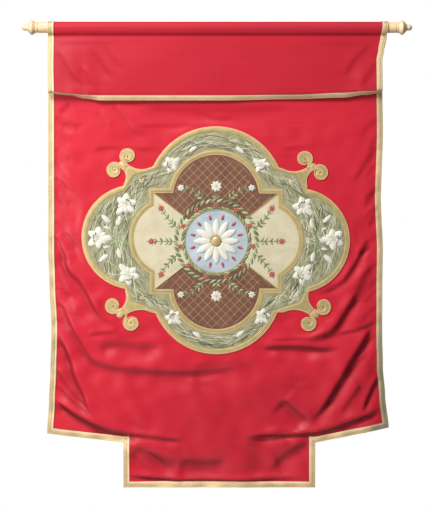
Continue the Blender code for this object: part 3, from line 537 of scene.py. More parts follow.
# End of the lobe before, the barb's two points, start of the lobe after, corner of the ground inside
CORNERS = {
    "upper_right": ((0.208, 0.460), (0.295, 0.463), (0.310, 0.478), (0.300, 0.526), (0.264, 0.489)),
    "lower_right": ((0.304, 0.873), (0.320, 0.927), (0.302, 0.946), (0.211, 0.945), (0.272, 0.907)),
    "lower_left": ((-0.208, 0.945), (-0.296, 0.946), (-0.314, 0.924), (-0.304, 0.869), (-0.278, 0.904)),
    "upper_left": ((-0.310, 0.519), (-0.306, 0.473), (-0.290, 0.454), (-0.211, 0.457), (-0.274, 0.489)),
}
HOLLOW_SHARE = 0.15
BORDER_WIDTH = 0.018
ARC_STEP = math.radians(2.5)
# Centre x, centre drop, corner, turn (1 is clockwise seen from the front)
SCROLLS = {
    "upper_left_top": (-0.295, 0.425, "upper_left", 1),
    "upper_left_side": (-0.338, 0.470, "upper_left", -1),
    "upper_right_top": (0.290, 0.434, "upper_right", -1),
    "upper_right_side": (0.340, 0.478, "upper_right", 1),
    "lower_left_side": (-0.343, 0.919, "lower_left", 1),
    "lower_left_foot": (-0.284, 0.974, "lower_left", -1),
    "lower_right_side": (0.350, 0.922, "lower_right", -1),
    "lower_right_foot": (0.302, 0.975, "lower_right", 1),
}
SCROLL_RADIUS = 0.027
SCROLL_SWEEP = math.radians(335)
SCROLL_LEAD = math.radians(12)
SCROLL_STEPS = 46
ROOT_GAP = 0.0005
ROOT_INSET = 0.05
# Share of the sweep, ribbon's width, its middle line's radius
SCROLL_RIBBON = (
    (0.00, 0.0105, 0.0235), (0.05, 0.0125, 0.0205), (0.15, 0.0165, 0.0187), (0.30, 0.0205, 0.0165),
    (0.55, 0.0220, 0.0155), (0.80, 0.0200, 0.0140), (0.93, 0.0140, 0.0110), (1.00, 0.0060, 0.0080))


def arc_points(centre_x, centre_drop, radius, start, end):
    """Points of an arc from the ray through start to the ray through end, clockwise from the front."""
    first = math.atan2(start[1] - centre_drop, start[0] - centre_x)
    last = math.atan2(end[1] - centre_drop, end[0] - centre_x)
    if last <= first:
        last += 2 * math.pi
    count = max(2, round((last - first) / ARC_STEP))
    angles = [first + (last - first) * k / count for k in range(count + 1)]
    return [(centre_x + radius * math.cos(a), centre_drop + radius * math.sin(a)) for a in angles]


def hollow_points(start, end):
    """Points between two ends of a shallow hollow that dips to the right of its clockwise direction."""
    length = math.dist(start, end)
    inward = (-(end[1] - start[1]) / length, (end[0] - start[0]) / length)
    points = []
    for share in np.linspace(0.1, 0.9, 9):
        dip = HOLLOW_SHARE * length * 4 * share * (1 - share)
        points.append((start[0] + (end[0] - start[0]) * share + inward[0] * dip,
                       start[1] + (end[1] - start[1]) * share + inward[1] * dip))
    return points


def corners_and_lobes():
    """Each corner, the lobe after it, and the end of that lobe."""
    corners = list(CORNERS.values())
    return zip(corners, LOBES, [corner[0] for corner in corners[1:] + corners[:1]])


def border_outline():
    outline = []
    for (before, barb_a, barb_b, after, _), lobe, end in corners_and_lobes():
        outline += hollow_points(before, barb_a) + [barb_a, barb_b] + hollow_points(barb_b, after)
        outline += arc_points(*lobe, after, end)
    return outline


def scroll_edges(centre_x, centre_drop, corner, turn):
    """Outer and inner edge of a scroll's curled ribbon, from its root on the barb to its tucked tip."""
    barb_a, barb_b = CORNERS[corner][1:3]
    middle = ((barb_a[0] + barb_b[0]) / 2, (barb_a[1] + barb_b[1]) / 2)
    own = min((barb_a, barb_b), key=lambda point: math.dist(point, (centre_x, centre_drop)))
    half_end = (own[0] - middle[0], own[1] - middle[1])
    away = (barb_a[1] - barb_b[1], barb_b[0] - barb_a[0])
    clear = ROOT_GAP / math.hypot(*away)
    edges = []
    for share in (ROOT_INSET, 1 - ROOT_INSET):
        edges.append([(middle[0] + half_end[0] * share - away[0] * clear,
                       middle[1] + half_end[1] * share - away[1] * clear)])
    start = math.atan2(middle[1] - centre_drop, middle[0] - centre_x) + turn * SCROLL_LEAD
    for share in np.linspace(0.0, 1.0, SCROLL_STEPS + 1):
        angle = start + turn * SCROLL_SWEEP * share
        width = along(SCROLL_RIBBON, share, 1)
        ring = along(SCROLL_RIBBON, share, 2)
        for edge, radius in zip(edges, (min(SCROLL_RADIUS, ring + width / 2), ring - width / 2)):
            edge.append((centre_x + radius * math.cos(angle), centre_drop + radius * math.sin(angle)))
    return edges


def inside(outline, x, drop):
    """Which places are inside a closed outline."""
    found = np.zeros(np.shape(x), bool)
    for (ax, az), (bx, bz) in zip(outline, outline[1:] + outline[:1]):
        if az != bz:
            crosses = ((az > drop) != (bz > drop)) & (x < ax + (drop - az) / (bz - az) * (bx - ax))
            found ^= crosses
    return found


def edge_distance(outline, x, drop):
    return np.abs(route_place(outline + outline[:1], x, drop)[0])


def give_maps(mesh, maps, values):
    """Gives a mesh its UV maps and its values at its points."""
    corners = np.empty(len(mesh.loops), np.int64)
    mesh.loops.foreach_get("vertex_index", corners)
    for name, pairs in maps.items():
        mesh.uv_layers.new(name=name).data.foreach_set("uv", np.asarray(pairs)[corners].ravel())
    for name, numbers in values.items():
        layer = mesh.attributes.new(name=name, type="FLOAT", domain="POINT")
        layer.data.foreach_set("value", np.asarray(numbers))


def slab(name, front, back, faces, finish, maps, values, sharp=50):
    """A closed piece between two surfaces that share their faces, whose corners run anticlockwise from -Y."""
    used, flat = np.unique(faces, return_inverse=True)
    faces = flat.reshape(np.shape(faces))
    count = len(used)
    edges = np.stack((faces, np.roll(faces, -1, axis=1)), axis=-1).reshape(-1, 2)
    codes = edges[:, 0] * count + edges[:, 1]
    rim = edges[~np.isin(codes, edges[:, 1] * count + edges[:, 0])]
    wall = np.column_stack((rim[:, 1], rim[:, 0], rim[:, 0] + count, rim[:, 1] + count))
    mesh = bpy.data.meshes.new(name)
    everything = faces.tolist() + (faces[:, ::-1] + count).tolist() + wall.tolist()
    mesh.from_pydata(np.vstack((front[used], back[used])), [], everything)
    mesh.shade_smooth()
    mesh.set_sharp_from_angle(angle=math.radians(sharp))
    give_maps(mesh, {key: np.tile(np.asarray(pairs)[used], (2, 1)) for key, pairs in maps.items()},
              {key: np.tile(np.asarray(numbers)[used], 2) for key, numbers in values.items()})
    return new_piece(name, mesh, finish)


border_edge = border_outline()
scroll_shapes = {name: scroll_edges(*row) for name, row in SCROLLS.items()}
stiff_outlines = [border_edge] + [outer + inner[::-1] for outer, inner in scroll_shapes.values()]


def spot(column, row):
    """Real place, as x and drop, of a column and row of the sheet."""
    across = (column + PANEL_HALF_WIDTH) / (2 * PANEL_HALF_WIDTH)
    left = along(PANEL_EDGES, row, 1) + PANEL_HALF_WIDTH
    right = along(PANEL_EDGES, row, 2) - PANEL_HALF_WIDTH
    lift = HEM_LIFT_LEFT * np.maximum(0.0, TAB_LEFT - column) / (PANEL_HALF_WIDTH + TAB_LEFT)
    lift = lift + HEM_LIFT_RIGHT * np.maximum(0.0, column - TAB_RIGHT) / (PANEL_HALF_WIDTH - TAB_RIGHT)
    raised = row - lift * eased((row - LIFT_FROM) / LIFT_RUN)
    return column + left * (1 - across) + right * across, raised


def sheet_shape(x, drop):
    """How far the sheet comes forwards, by its folds, slack and curled sides, and how much painted shade its
    creases get.
    """
    depth, crease = (wide + small for wide, small in zip(
        folds_at(PANEL_FOLDS, x, drop), folds_at(PANEL_CREASES, x, drop)))
    edge = np.where(x < 0, along(SIDE_CURL, drop, 1), along(SIDE_CURL, drop, 2))
    beyond = np.maximum(0.0, (np.abs(x) - CURL_START) / (PANEL_HALF_WIDTH - CURL_START))
    slack = 0
    for height, u, v, phase in SLACK_WAVES:
        slack = slack + height * np.sin(2 * math.pi * (u * x + v * drop) + phase)
    begun, full = (eased((drop - start) / run) for start, run in SLACK_FADES)
    depth = depth + slack * begun * (0.45 + 0.55 * full)
    depth = depth - edge * beyond * beyond - FOOT_SWING * eased((drop - SWING_FROM) / SWING_RUN)
    away = np.full(np.shape(x), 1.0)
    flat = np.zeros(np.shape(x), bool)
    for outline in stiff_outlines:
        flat |= inside(outline, x, drop)
        away = np.minimum(away, edge_distance(outline, x, drop))
    free = np.where(flat, 0.0, eased(away / STIFF_FADE))
    return depth * free, np.minimum(crease, CREASE_MOST) * free


def sheet_depth(x, drop):
    return sheet_shape(x, drop)[0]


SLOPE_STEP = 0.002


def sheet_points(column, row, proud):
    """Places a distance in front of the sheet's front, measured squarely to its slope."""
    x, drop = spot(column, row)
    depth = sheet_depth(x, drop)
    slope_x = (sheet_depth(x + SLOPE_STEP, drop) - depth) / SLOPE_STEP
    slope_z = (sheet_depth(x, drop + SLOPE_STEP) - depth) / SLOPE_STEP
    stretch = np.sqrt(1 + slope_x ** 2 + slope_z ** 2)
    return np.stack((x, FRONT_PLANE - depth - proud * stretch, -drop), axis=-1)


def spaced(start, stop, step):
    return np.linspace(start, stop, max(2, round(abs(stop - start) / step) + 1))


def grid_faces(columns, rows):
    """Faces of a grid of points that run down each column in turn, and each face's column and row."""
    i, j = (grid.ravel() for grid in np.meshgrid(np.arange(columns - 1), np.arange(rows - 1), indexing="ij"))
    first = i * rows + j
    return np.column_stack((first, first + 1, first + 1 + rows, first + rows)), i, j


TURN_IN = 0.016
TURN_IN_THICKNESS = 0.0007
TURN_IN_SLOPE = 0.006
# Stretches of the sheet's grid, across and down: where it starts and stops, and the step
COLUMN_STEPS = ((-PANEL_HALF_WIDTH, TAB_LEFT, 0.0048), (TAB_LEFT, TAB_RIGHT, 0.0082),
                (TAB_RIGHT, PANEL_HALF_WIDTH, 0.0048))
ROW_STEPS = ((PANEL_TOP_DROP, 0.22, 0.0090), (0.22, 0.40, 0.0060), (0.40, 0.86, 0.0072),
             (0.86, HEM_DROP, 0.0046), (HEM_DROP, TAB_DROP, 0.0046))
columns, rows = (np.unique(np.concatenate([spaced(*stretch) for stretch in stretches]))
                 for stretches in (COLUMN_STEPS, ROW_STEPS))
grid_column, grid_row = (grid.ravel() for grid in np.meshgrid(columns, rows, indexing="ij"))
cells, cell_column, cell_row = grid_faces(len(columns), len(rows))
above_hem = rows[cell_row] <= HEM_DROP - 1e-6
in_tab = (columns[cell_column] > TAB_LEFT - 1e-6) & (columns[cell_column + 1] < TAB_RIGHT + 1e-6)
lower_edge = np.where((grid_column > TAB_LEFT) & (grid_column < TAB_RIGHT), TAB_DROP, HEM_DROP)
from_edge = np.minimum(PANEL_HALF_WIDTH - np.abs(grid_column), lower_edge - grid_row)
turned_in = TURN_IN_THICKNESS * eased((TURN_IN - from_edge) / TURN_IN_SLOPE)
plain = np.zeros(len(grid_row))
sheet = slab(
    "silk_sheet", sheet_points(grid_column, grid_row, 0.0),
    sheet_points(grid_column, grid_row, -PANEL_THICKNESS - turned_in), cells[above_hem | in_tab], satin,
    {"cloth": np.column_stack((grid_column, grid_row))},
    {"crosswise": plain, "pocket": plain, "crease": sheet_shape(*spot(grid_column, grid_row))[1]})
fixed(sheet, "crimson_satin", "banner_panel")


# The flap is a second piece of the same satin. It is folded over the pole, stitched through just under it to
# make the pocket, and hangs down in front of the sheet with its lower edge turned under.
FLAP_THICKNESS = 0.0015
POCKET_STITCH_DROP = 0.0218
# The pocket's tail behind the sheet, up to the stitches
TAIL_DROPS = (0.038, 0.031, POCKET_STITCH_DROP)
# How far forwards the pocket's front is, and its drop, from the pole down to the stitches
POCKET_FOOT = ((0.0155, 0.0115), (0.0125, 0.0165), (0.0070, 0.0205))
FLAP_PARALLEL_DROP = 0.030
FLAP_STEP = 0.0062
GALLOON_WIDTH = 0.021
FLAP_FOOT_WIDTH = 0.018
# Place across, drops of its lower galloon's upper and lower edge, and how far that upper edge stands out
FLAP_EDGE = (
    (-0.551, 0.2110, 0.2155, 0.0245), (-0.485, 0.2168, 0.2215, 0.0240), (-0.436, 0.2214, 0.2330, 0.0205),
    (-0.380, 0.2237, 0.2412, 0.0160), (0.010, 0.2237, 0.2412, 0.0145), (0.257, 0.2211, 0.2356, 0.0165),
    (0.422, 0.2152, 0.2313, 0.0185), (0.500, 0.2095, 0.2215, 0.0230), (0.551, 0.2070, 0.2135, 0.0240))
# Drop, left edge, right edge
FLAP_SIDES = ((0.000, -0.5577, 0.5643), (0.030, -0.5577, 0.5590), (0.074, -0.5577, 0.5510),
              (0.110, -0.5577, 0.5445), (0.240, -0.5550, 0.5445))
FLAP_FOLDS = fold_rows((
    (0.0022, 0.0085, 0.0016, 1, ((-522, 75), (-480, 150), (-440, 200))),
    (0.0016, 0.0070, 0.0012, 1, ((-445, 130), (-400, 205))),
    (0.0018, 0.0075, 0.0014, 1, ((-415, 60), (-380, 112), (-335, 175))),
    (0.0012, 0.0070, 0.0010, 1, ((-372, 50), (-330, 110), (-300, 140))),
    (0.0026, 0.0095, 0.0018, -1, ((508, 50), (464, 106), (425, 165))),
    (0.0014, 0.0080, 0.0010, -1, ((540, 110), (505, 165), (480, 200))),
    (0.0004, 0.0040, 0.0004, 1, ((2, 75), (3, 200))),
    (0.0004, 0.0040, 0.0004, 1, ((14, 75), (13, 200))),
    (0.0011, 0.0050, 0.0010, 1, ((-532, 51), (-400, 49), (-310, 50))),
    (0.0010, 0.0050, 0.0009, -1, ((500, 50), (445, 55), (320, 52))),
))
ROUND_POLE_ANGLES = np.radians(np.arange(45, 291.1, 6))
STITCH_POINT = len(TAIL_DROPS) + len(ROUND_POLE_ANGLES) + len(POCKET_FOOT)
HANG_SHARES = np.linspace(0.0, 1.0, 31)[1:]
FOOT_SHARES = np.linspace(0.0, 1.0, 5)[1:]


def flap_lines(column, proud):
    """The flap's section at each column, a distance outside its inner face, and the length run along it."""
    column = np.asarray(column, float)
    seat = PANEL_THICKNESS / 2 + SEAT_GAP
    radius = POLE_RADIUS + SEAT_GAP
    section = [(-seat, down) for down in TAIL_DROPS]
    section += zip(-radius * np.sin(ROUND_POLE_ANGLES), radius * np.cos(ROUND_POLE_ANGLES))
    section += [*POCKET_FOOT, (seat, POCKET_STITCH_DROP), (seat, FLAP_PARALLEL_DROP)]
    forward, drop = ([np.full(column.shape, value) for value in values] for values in zip(*section))
    upper, lower, out = (along(FLAP_EDGE, column, k) for k in (1, 2, 3))
    for share in HANG_SHARES:
        drop.append(FLAP_PARALLEL_DROP + (upper - FLAP_PARALLEL_DROP) * share)
        belly = 0.0012 * math.sin(math.pi * share) * np.sin(column * 21.0 + 2.0 * share)
        fold = folds_at(FLAP_FOLDS, column, drop[-1])[0]
        forward.append(seat + (out - seat) * share + (fold + belly) * share)
    inward = np.sqrt(FLAP_FOOT_WIDTH ** 2 - (lower - upper) ** 2)
    edge = forward[-1]
    for share in FOOT_SHARES:
        drop.append(upper + (lower - upper) * share)
        forward.append(edge - inward * share)
    line = np.stack((np.stack(forward, -1), np.stack(drop, -1)), -1)
    steps = np.diff(line, axis=1)
    lengths = np.linalg.norm(steps, axis=2, keepdims=True)
    across = np.stack((steps[..., 1], -steps[..., 0]), -1) / lengths
    before = np.concatenate((across[:, :1], across), axis=1)
    after = np.concatenate((across, across[:, -1:]), axis=1)
    spread = 1 + (before * after).sum(axis=2, keepdims=True)
    moved = line + (before + after) / spread * np.asarray(proud)[..., None]
    run = np.concatenate((np.zeros((len(column), 1)), np.cumsum(lengths[..., 0], axis=1)), axis=1)
    share_across = (column + PANEL_HALF_WIDTH)[:, None] / (2 * PANEL_HALF_WIDTH)
    left = along(FLAP_SIDES, line[..., 1], 1) + PANEL_HALF_WIDTH
    right = along(FLAP_SIDES, line[..., 1], 2) - PANEL_HALF_WIDTH
    x = column[:, None] + left * (1 - share_across) + right * share_across
    return np.stack((x, -moved[..., 0], -moved[..., 1]), -1), run


flap_columns = spaced(-PANEL_HALF_WIDTH, PANEL_HALF_WIDTH, FLAP_STEP)
flap_outer, flap_run = flap_lines(flap_columns, FLAP_THICKNESS)
flap_inner, _ = flap_lines(flap_columns, 0.0)
section_count = flap_run.shape[1]
flap_map = np.stack((np.repeat(flap_columns[:, None], section_count, axis=1), flap_run), -1).reshape(-1, 2)
past_pocket = flap_map[:, 1] - flap_run[0, STITCH_POINT - 1]
# Painted shade on the pocket's round, ending just above the stitches, and painted light in the dip around
# them.
pocket_painted_shade_and_light = 1 - eased(past_pocket / 0.008 + 1.5) - 0.8 * np.exp(-(past_pocket / 0.005) ** 2)
# Painted shade in the flap's creases
flap_crease = folds_at(FLAP_FOLDS, flap_map[:, 0], flap_outer[..., 2].ravel() * -1)[1]
# The flap carries painted shade where it hangs, on the pocket's round and in its creases, and painted light
# in the dip under the pocket.
flap = slab(
    "silk_flap", flap_outer.reshape(-1, 3), flap_inner.reshape(-1, 3),
    grid_faces(len(flap_columns), section_count)[0], satin, {"cloth": flap_map},
    {"crosswise": eased(past_pocket / 0.02), "crease": flap_crease, "pocket": pocket_painted_shade_and_light})
fixed(flap, "crimson_satin", "pole_flap")


# A row of small running stitches in crimson thread closes the pocket under the pole. They are loops that lie
# in the satin, a little slanted, each 3 mm long.
def new_tree(name, inputs):
    """An empty tree of geometry nodes and a reading of each of its inputs, given as title and kind."""
    tree = bpy.data.node_groups.new(name, "GeometryNodeTree")
    tree.is_modifier = True
    tree.interface.new_socket("Geometry", in_out="OUTPUT", socket_type="NodeSocketGeometry")
    for title, kind in inputs.items():
        tree.interface.new_socket(title, in_out="INPUT", socket_type="NodeSocket" + kind)
    entry = tree.nodes.new("NodeGroupInput")
    return tree, {title: Reading(tree, entry.outputs[title]) for title in inputs}


def close_tree(geometry_reading, finish_reading):
    """Ends a tree: its copies become real, take their finish and go out."""
    real = geometry_reading.node("GeometryNodeRealizeInstances", {}, {"Geometry": geometry_reading})
    dressed = real.node("GeometryNodeSetMaterial", {}, {"Geometry": real, "Material": finish_reading})
    way_out = dressed.tree.nodes.new("NodeGroupOutput")
    dressed.tree.links.new(dressed.socket, way_out.inputs["Geometry"])


def worked(name, source, tree, **values):
    """A plain mesh piece that a tree makes of a source mesh, with its inputs set by their titles."""
    piece = bpy.data.objects.new(name, source)
    scene.collection.objects.link(piece)
    step = piece.modifiers.new(tree.name, "NODES")
    step.node_group = tree
    for item in tree.interface.items_tree:
        if item.name in values:
            step[item.identifier] = values[item.name]
    ready = piece.evaluated_get(bpy.context.evaluated_depsgraph_get())
    mesh = bpy.data.meshes.new_from_object(ready)
    piece.modifiers.clear()
    piece.data = mesh
    return piece


set_tree, socket = new_tree("set_shapes_on_points", {
    "Geometry": "Geometry", "Shape": "Object", "Growth": "Float", "Finish": "Material"})
shape = socket["Shape"].node("GeometryNodeObjectInfo", {}, {"Object": socket["Shape"]}, 4)
turn = shape.node("GeometryNodeInputNamedAttribute", {"data_type": "FLOAT_VECTOR"}, {"Name": "turn"})
size = shape.node("GeometryNodeInputNamedAttribute", {"data_type": "FLOAT_VECTOR"}, {"Name": "size"})
scale = size.node("ShaderNodeVectorMath", {"operation": "SCALE"}, {0: size, "Scale": socket["Growth"]})
placed = shape.node("GeometryNodeInstanceOnPoints", {}, {
    "Points": socket["Geometry"], "Instance": shape, "Rotation": turn, "Scale": scale})
close_tree(placed, socket["Finish"])


def point_cloud(name, places, turns, sizes, tones):
    """Loose points that hold how a shape on each is turned and sized, and its tone from 0 to 1."""
    mesh = bpy.data.meshes.new(name)
    mesh.from_pydata([tuple(place) for place in places], [], [])
    for title, vectors in (("turn", turns), ("size", sizes)):
        layer = mesh.attributes.new(name=title, type="FLOAT_VECTOR", domain="POINT")
        layer.data.foreach_set("vector", np.asarray(vectors, float).ravel())
    give_maps(mesh, {}, {"tone": tones})
    return mesh


PAD_ROUNDING = 0.82
PAD_SINK = 0.25


def pad_shape(name, count_along, count_across, width_at, crown_at):
    """A padded shape, 1 long on X and 1 across on Z, that stands up to 1 towards -Y, to be set many times."""
    u = np.repeat(np.linspace(0.0, 1.0, count_along), count_across)
    v = np.tile(np.linspace(-1.0, 1.0, count_across), count_along)
    width = np.array([width_at(place) for place in u])
    crown = np.array([crown_at(place) for place in u]) * (1 - PAD_ROUNDING * v * v)
    front = np.column_stack((u, -crown, -v * width / 2))
    back = np.column_stack((u, np.full(len(u), PAD_SINK), -v * width / 2))
    faces, _, _ = grid_faces(count_along, count_across)
    pad = slab(name, front, back, faces, None, {"pad": np.column_stack((u, v))}, {})
    scene.collection.objects.unlink(pad)
    return pad


STITCH_PITCH = 0.0046
stitch_pad = pad_shape("stitch_pad", 5, 3, lambda u: 0.28 + 0.5 * math.sin(math.pi * u),
                       lambda u: 0.2 + 0.8 * math.sin(math.pi * u))
sewing = Finish("crimson_thread", 0.5)
sewing_u, sewing_v, _ = sewing.map("pad").parts()
twist = (sewing_u * 3.0 + sewing_v * 0.5).ripple(1.0)
sewing.feed("Base Color", twist.colours((0.0, (0.30, 0.008, 0.014)), (1.0, (0.52, 0.018, 0.030))))
sewing.bump(twist, 0.0003)
stitch_columns = np.arange(-0.548, 0.548, STITCH_PITCH)
stitch_places = flap_lines(stitch_columns, FLAP_THICKNESS + 0.0001)[0][:, STITCH_POINT]
stitch_count = len(stitch_columns)
stitches = worked(
    "pocket_stitches",
    point_cloud("pocket_stitches", stitch_places, [(0.0, -0.10, 0.0)] * stitch_count,
                [(0.0032, 0.0006, 0.0011)] * stitch_count, [0.5] * stitch_count),
    set_tree, Shape=stitch_pad, Growth=1.0, Finish=sewing.material)
fixed(stitches, "crimson_satin")


# Gold galloon, a woven braid 21 mm wide, and 18 mm at the flap's foot, edges both pieces of satin. It is
# mitred at the corners. Its body is ribbed and olive-gold, with a rounded peach silk stripe along its inner
# edge. A thin dark line of painted shadow runs along that edge, and the right side galloon has grey-green
# painted shade low down.
braid = Finish("gold_galloon", 0.45, Sheen_Weight=0.2, Sheen_Roughness=0.4)
over_braid, down_braid, _ = braid.map("braid").parts()
ribs = (down_braid + over_braid * 0.6).ripple(420.0)
chevron = (down_braid - 0.9 * (over_braid - 0.007).absolute()).ripple(260.0)
wear = braid.place.noise((26.0, 26.0, 26.0), 4.0)
tarnish = braid.place.noise((5.0, 5.0, 4.0), 2.0)
body = (chevron * 0.55 + ribs * 0.25 + wear * 0.3).colours(
    (0.15, (0.33, 0.220, 0.082)), (0.5, (0.58, 0.41, 0.195)), (0.85, (0.82, 0.625, 0.36)))
stripe = (ribs * 0.5 + wear * 0.5).colours((0.1, (0.76, 0.47, 0.25)), (0.8, (0.98, 0.74, 0.47)))
gold = body.laid_over(1.0 - over_braid.between(0.0016, 0.0030), (0.62, 0.50, 0.24))
striped = over_braid.between(0.0128, 0.0140)
gold = gold.laid_over(striped, stripe)
# Painted shadow: a thin dark line along the galloon's inner edge.
gold = gold.laid_over(over_braid.between(0.0188, 0.0196), (0.20, 0.045, 0.030))
braid_x, _, braid_z = braid.place.parts()
# Painted shade: the right side galloon is grey-green low down.
galloon_painted_shade = braid_x.between(0.50, 0.52) * (0.0 - braid_z).between(0.93, 1.06) * braid_z.between(-1.372, -1.345)
gold = gold.laid_over(galloon_painted_shade * (0.62 - 0.30 * striped), (0.225, 0.245, 0.165))
braid.feed("Base Color", gold.shaded(0.76 + tarnish * 0.52))
braid.feed("Metallic", 0.25 - 0.25 * striped)
braid.feed("Roughness", 0.36 + ribs * 0.22)
braid.bump(chevron * 0.6 + ribs * 0.4, 0.0005, 0.8)

GALLOON_STEP = 0.0042
MITRE_GAP = 0.0003
# Share of the width from the outer edge, and height over the cloth
GALLOON_PROFILE = ((0.000, 0.0005), (0.025, 0.0011), (0.070, 0.0014), (0.120, 0.0013), (0.160, 0.0010),
                   (0.300, 0.0012), (0.450, 0.0012), (0.620, 0.0011), (0.665, 0.0008), (0.710, 0.0012),
                   (0.800, 0.0016), (0.900, 0.0014), (0.970, 0.0010), (1.000, 0.0005))


def galloon(place, points_at, start_at, stop_at, flip=False):
    """A length of galloon. points_at gives places for shares of its width from the outer edge, lengths along
    it and heights, and start_at and stop_at where it begins and ends at each share. flip turns its faces."""
    shares, heights = np.array(GALLOON_PROFILE).T
    starts = np.array([start_at(share) for share in shares])
    stops = np.array([stop_at(share) for share in shares])
    count = len(spaced(starts[0], stops[0], GALLOON_STEP))
    run = starts[:, None] + (stops - starts)[:, None] * np.linspace(0.0, 1.0, count)[None, :]
    share_grid = np.repeat(shares[:, None], count, axis=1)
    front = points_at(share_grid, run, np.repeat(heights[:, None], count, axis=1) + SEAT_GAP)
    back = points_at(share_grid, run, np.full(run.shape, SEAT_GAP))
    faces, _, _ = grid_faces(len(shares), count)
    maps = {"braid": np.column_stack((share_grid.ravel() * GALLOON_WIDTH, run.ravel()))}
    piece = slab("galloon_braid_" + place, front.reshape(-1, 3), back.reshape(-1, 3),
                 faces[:, ::-1] if flip else faces, braid, maps, {})
    fixed(piece, "gold_galloon", "galloon_" + place)


def on_sheet(column_of, row_of):
    """points_at for a galloon on the sheet, from how its share and length give a column and a row."""
    def points_at(share, run, proud):
        return sheet_points(column_of(share, run), row_of(share, run), proud)
    return points_at


def on_flap(column_of, run_of):
    """points_at for a galloon on the flap; its length may be counted from the flap's lower edge."""
    def points_at(share, run, proud):
        flat_column = column_of(share, run).ravel()
        lines, runs = flap_lines(flat_column, FLAP_THICKNESS + proud.ravel()[:, None])
        wanted = run_of(share, run).ravel()
        wanted = np.where(wanted < 0, runs[:, -1] + wanted, wanted)
        found = [[np.interp(at, along_line, line[:, k]) for k in range(3)]
                 for at, along_line, line in zip(wanted, runs, lines)]
        return np.array(found).reshape(*share.shape, 3)
    return points_at


half = PANEL_HALF_WIDTH
W = GALLOON_WIDTH
GALLOON_TOP_DROP = 0.055
for name, side, tab_edge in (("left", -1, TAB_LEFT), ("right", 1, TAB_RIGHT)):
    galloon("side_" + name,
            on_sheet(lambda share, run, side=side: side * (half - W * share), lambda share, run: run),
            lambda share: GALLOON_TOP_DROP, lambda share: HEM_DROP - W * share - MITRE_GAP, side > 0)
    galloon("tab_" + name,
            on_sheet(lambda share, run, side=side, edge=tab_edge: edge - side * W * share,
                     lambda share, run: run),
            lambda share: HEM_DROP - W * share + MITRE_GAP, lambda share: TAB_DROP - W * share - MITRE_GAP,
            side > 0)
# Name, drop of the outer edge, and where that edge starts and stops, each with the way its mitre slants
for name, foot, start, start_slant, stop, stop_slant in (
        ("hem_left", HEM_DROP, -half, 1, TAB_LEFT, 1), ("hem_right", HEM_DROP, TAB_RIGHT, -1, half, -1),
        ("tab_foot", TAB_DROP, TAB_LEFT, 1, TAB_RIGHT, -1)):
    galloon(name,
            on_sheet(lambda share, run: run, lambda share, run, foot=foot: foot - W * share),
            lambda share: start + start_slant * W * share + MITRE_GAP,
            lambda share: stop + stop_slant * W * share - MITRE_GAP)


def flap_length(share, side):
    """Length run along the flap from its tail to its lower edge, at a share of a side galloon's width."""
    return flap_lines([side * (half - W * share)], 0.0)[1][0, -1]


for name, side in (("left", -1), ("right", 1)):
    galloon("flap_" + name,
            on_flap(lambda share, run, side=side: side * (half - W * share), lambda share, run: run),
            lambda share: 0.0,
            lambda share, side=side: flap_length(share, side) - FLAP_FOOT_WIDTH * share - MITRE_GAP, side > 0)
galloon("flap_foot",
        on_flap(lambda share, run: run, lambda share, run: -FLAP_FOOT_WIDTH * share - 1e-6),
        lambda share: -half + W * share + MITRE_GAP, lambda share: half - W * share - MITRE_GAP)


# The medallion's ground is a stiffened panel of grey-green silk, covered in long laid stitches. It is cut to
# the quatrefoil with a window in its middle, and sewn flat to the sheet.
PLATE_BACK = FRONT_PLANE - SEAT_GAP
GROUND_THICKNESS = 0.0022
GROUND_MESH = 0.0042
INNER_BORDER_WIDTH = 0.0165
# Upper, right, lower and left arc: centre x, centre drop and radius, the axis that its corners give (0 is x),
# and the side of its centre that it starts on
WINDOW_ARCS = (((-0.003, 0.562, 0.142), 1, -1), ((0.153, 0.702, 0.116), 0, -1),
               ((-0.002, 0.853, 0.142), 1, 1), ((-0.156, 0.694, 0.118), 0, 1))
# Clockwise from the upper left
WINDOW_CORNERS = ((-0.208, 0.546), (0.201, 0.548), (0.198, 0.861), (-0.205, 0.863))


def sewn(piece, slot, *nodes):
    """Hangs a piece of the medallion, or one sewn to it, on the frame as fixed does. The slot is not used."""
    fixed(piece, slot, *nodes)


def ground_outline():
    outline = []
    for (*_, after, inner), (centre_x, centre_drop, radius), end in corners_and_lobes():
        outline.append(inner)
        outline += arc_points(centre_x, centre_drop, radius - BORDER_WIDTH, after, end)
    return outline


def crossing(arc, level, axis, side):
    """Where an arc crosses a level line (axis 1) or an upright one (axis 0), on its -1 or 1 side."""
    run = side * math.sqrt(arc[2] ** 2 - (level - arc[axis]) ** 2)
    return (level, arc[1] + run) if axis == 0 else (arc[0] + run, level)


def window_outline():
    outline = []
    ends = WINDOW_CORNERS[1:] + WINDOW_CORNERS[:1]
    for (arc, axis, side), start, end in zip(WINDOW_ARCS, WINDOW_CORNERS, ends):
        first = crossing(arc, start[axis], axis, side)
        outline += arc_points(*arc, first, crossing(arc, end[axis], axis, -side)) + [end]
    return outline


def evenly(outline, step):
    """The closed outline with extra points, so that none lie further apart than a step."""
    points = []
    for a, b in zip(outline, outline[1:] + outline[:1]):
        count = max(1, math.ceil(math.dist(a, b) / step))
        points += [(a[0] + (b[0] - a[0]) * k / count, a[1] + (b[1] - a[1]) * k / count) for k in range(count)]
    return points


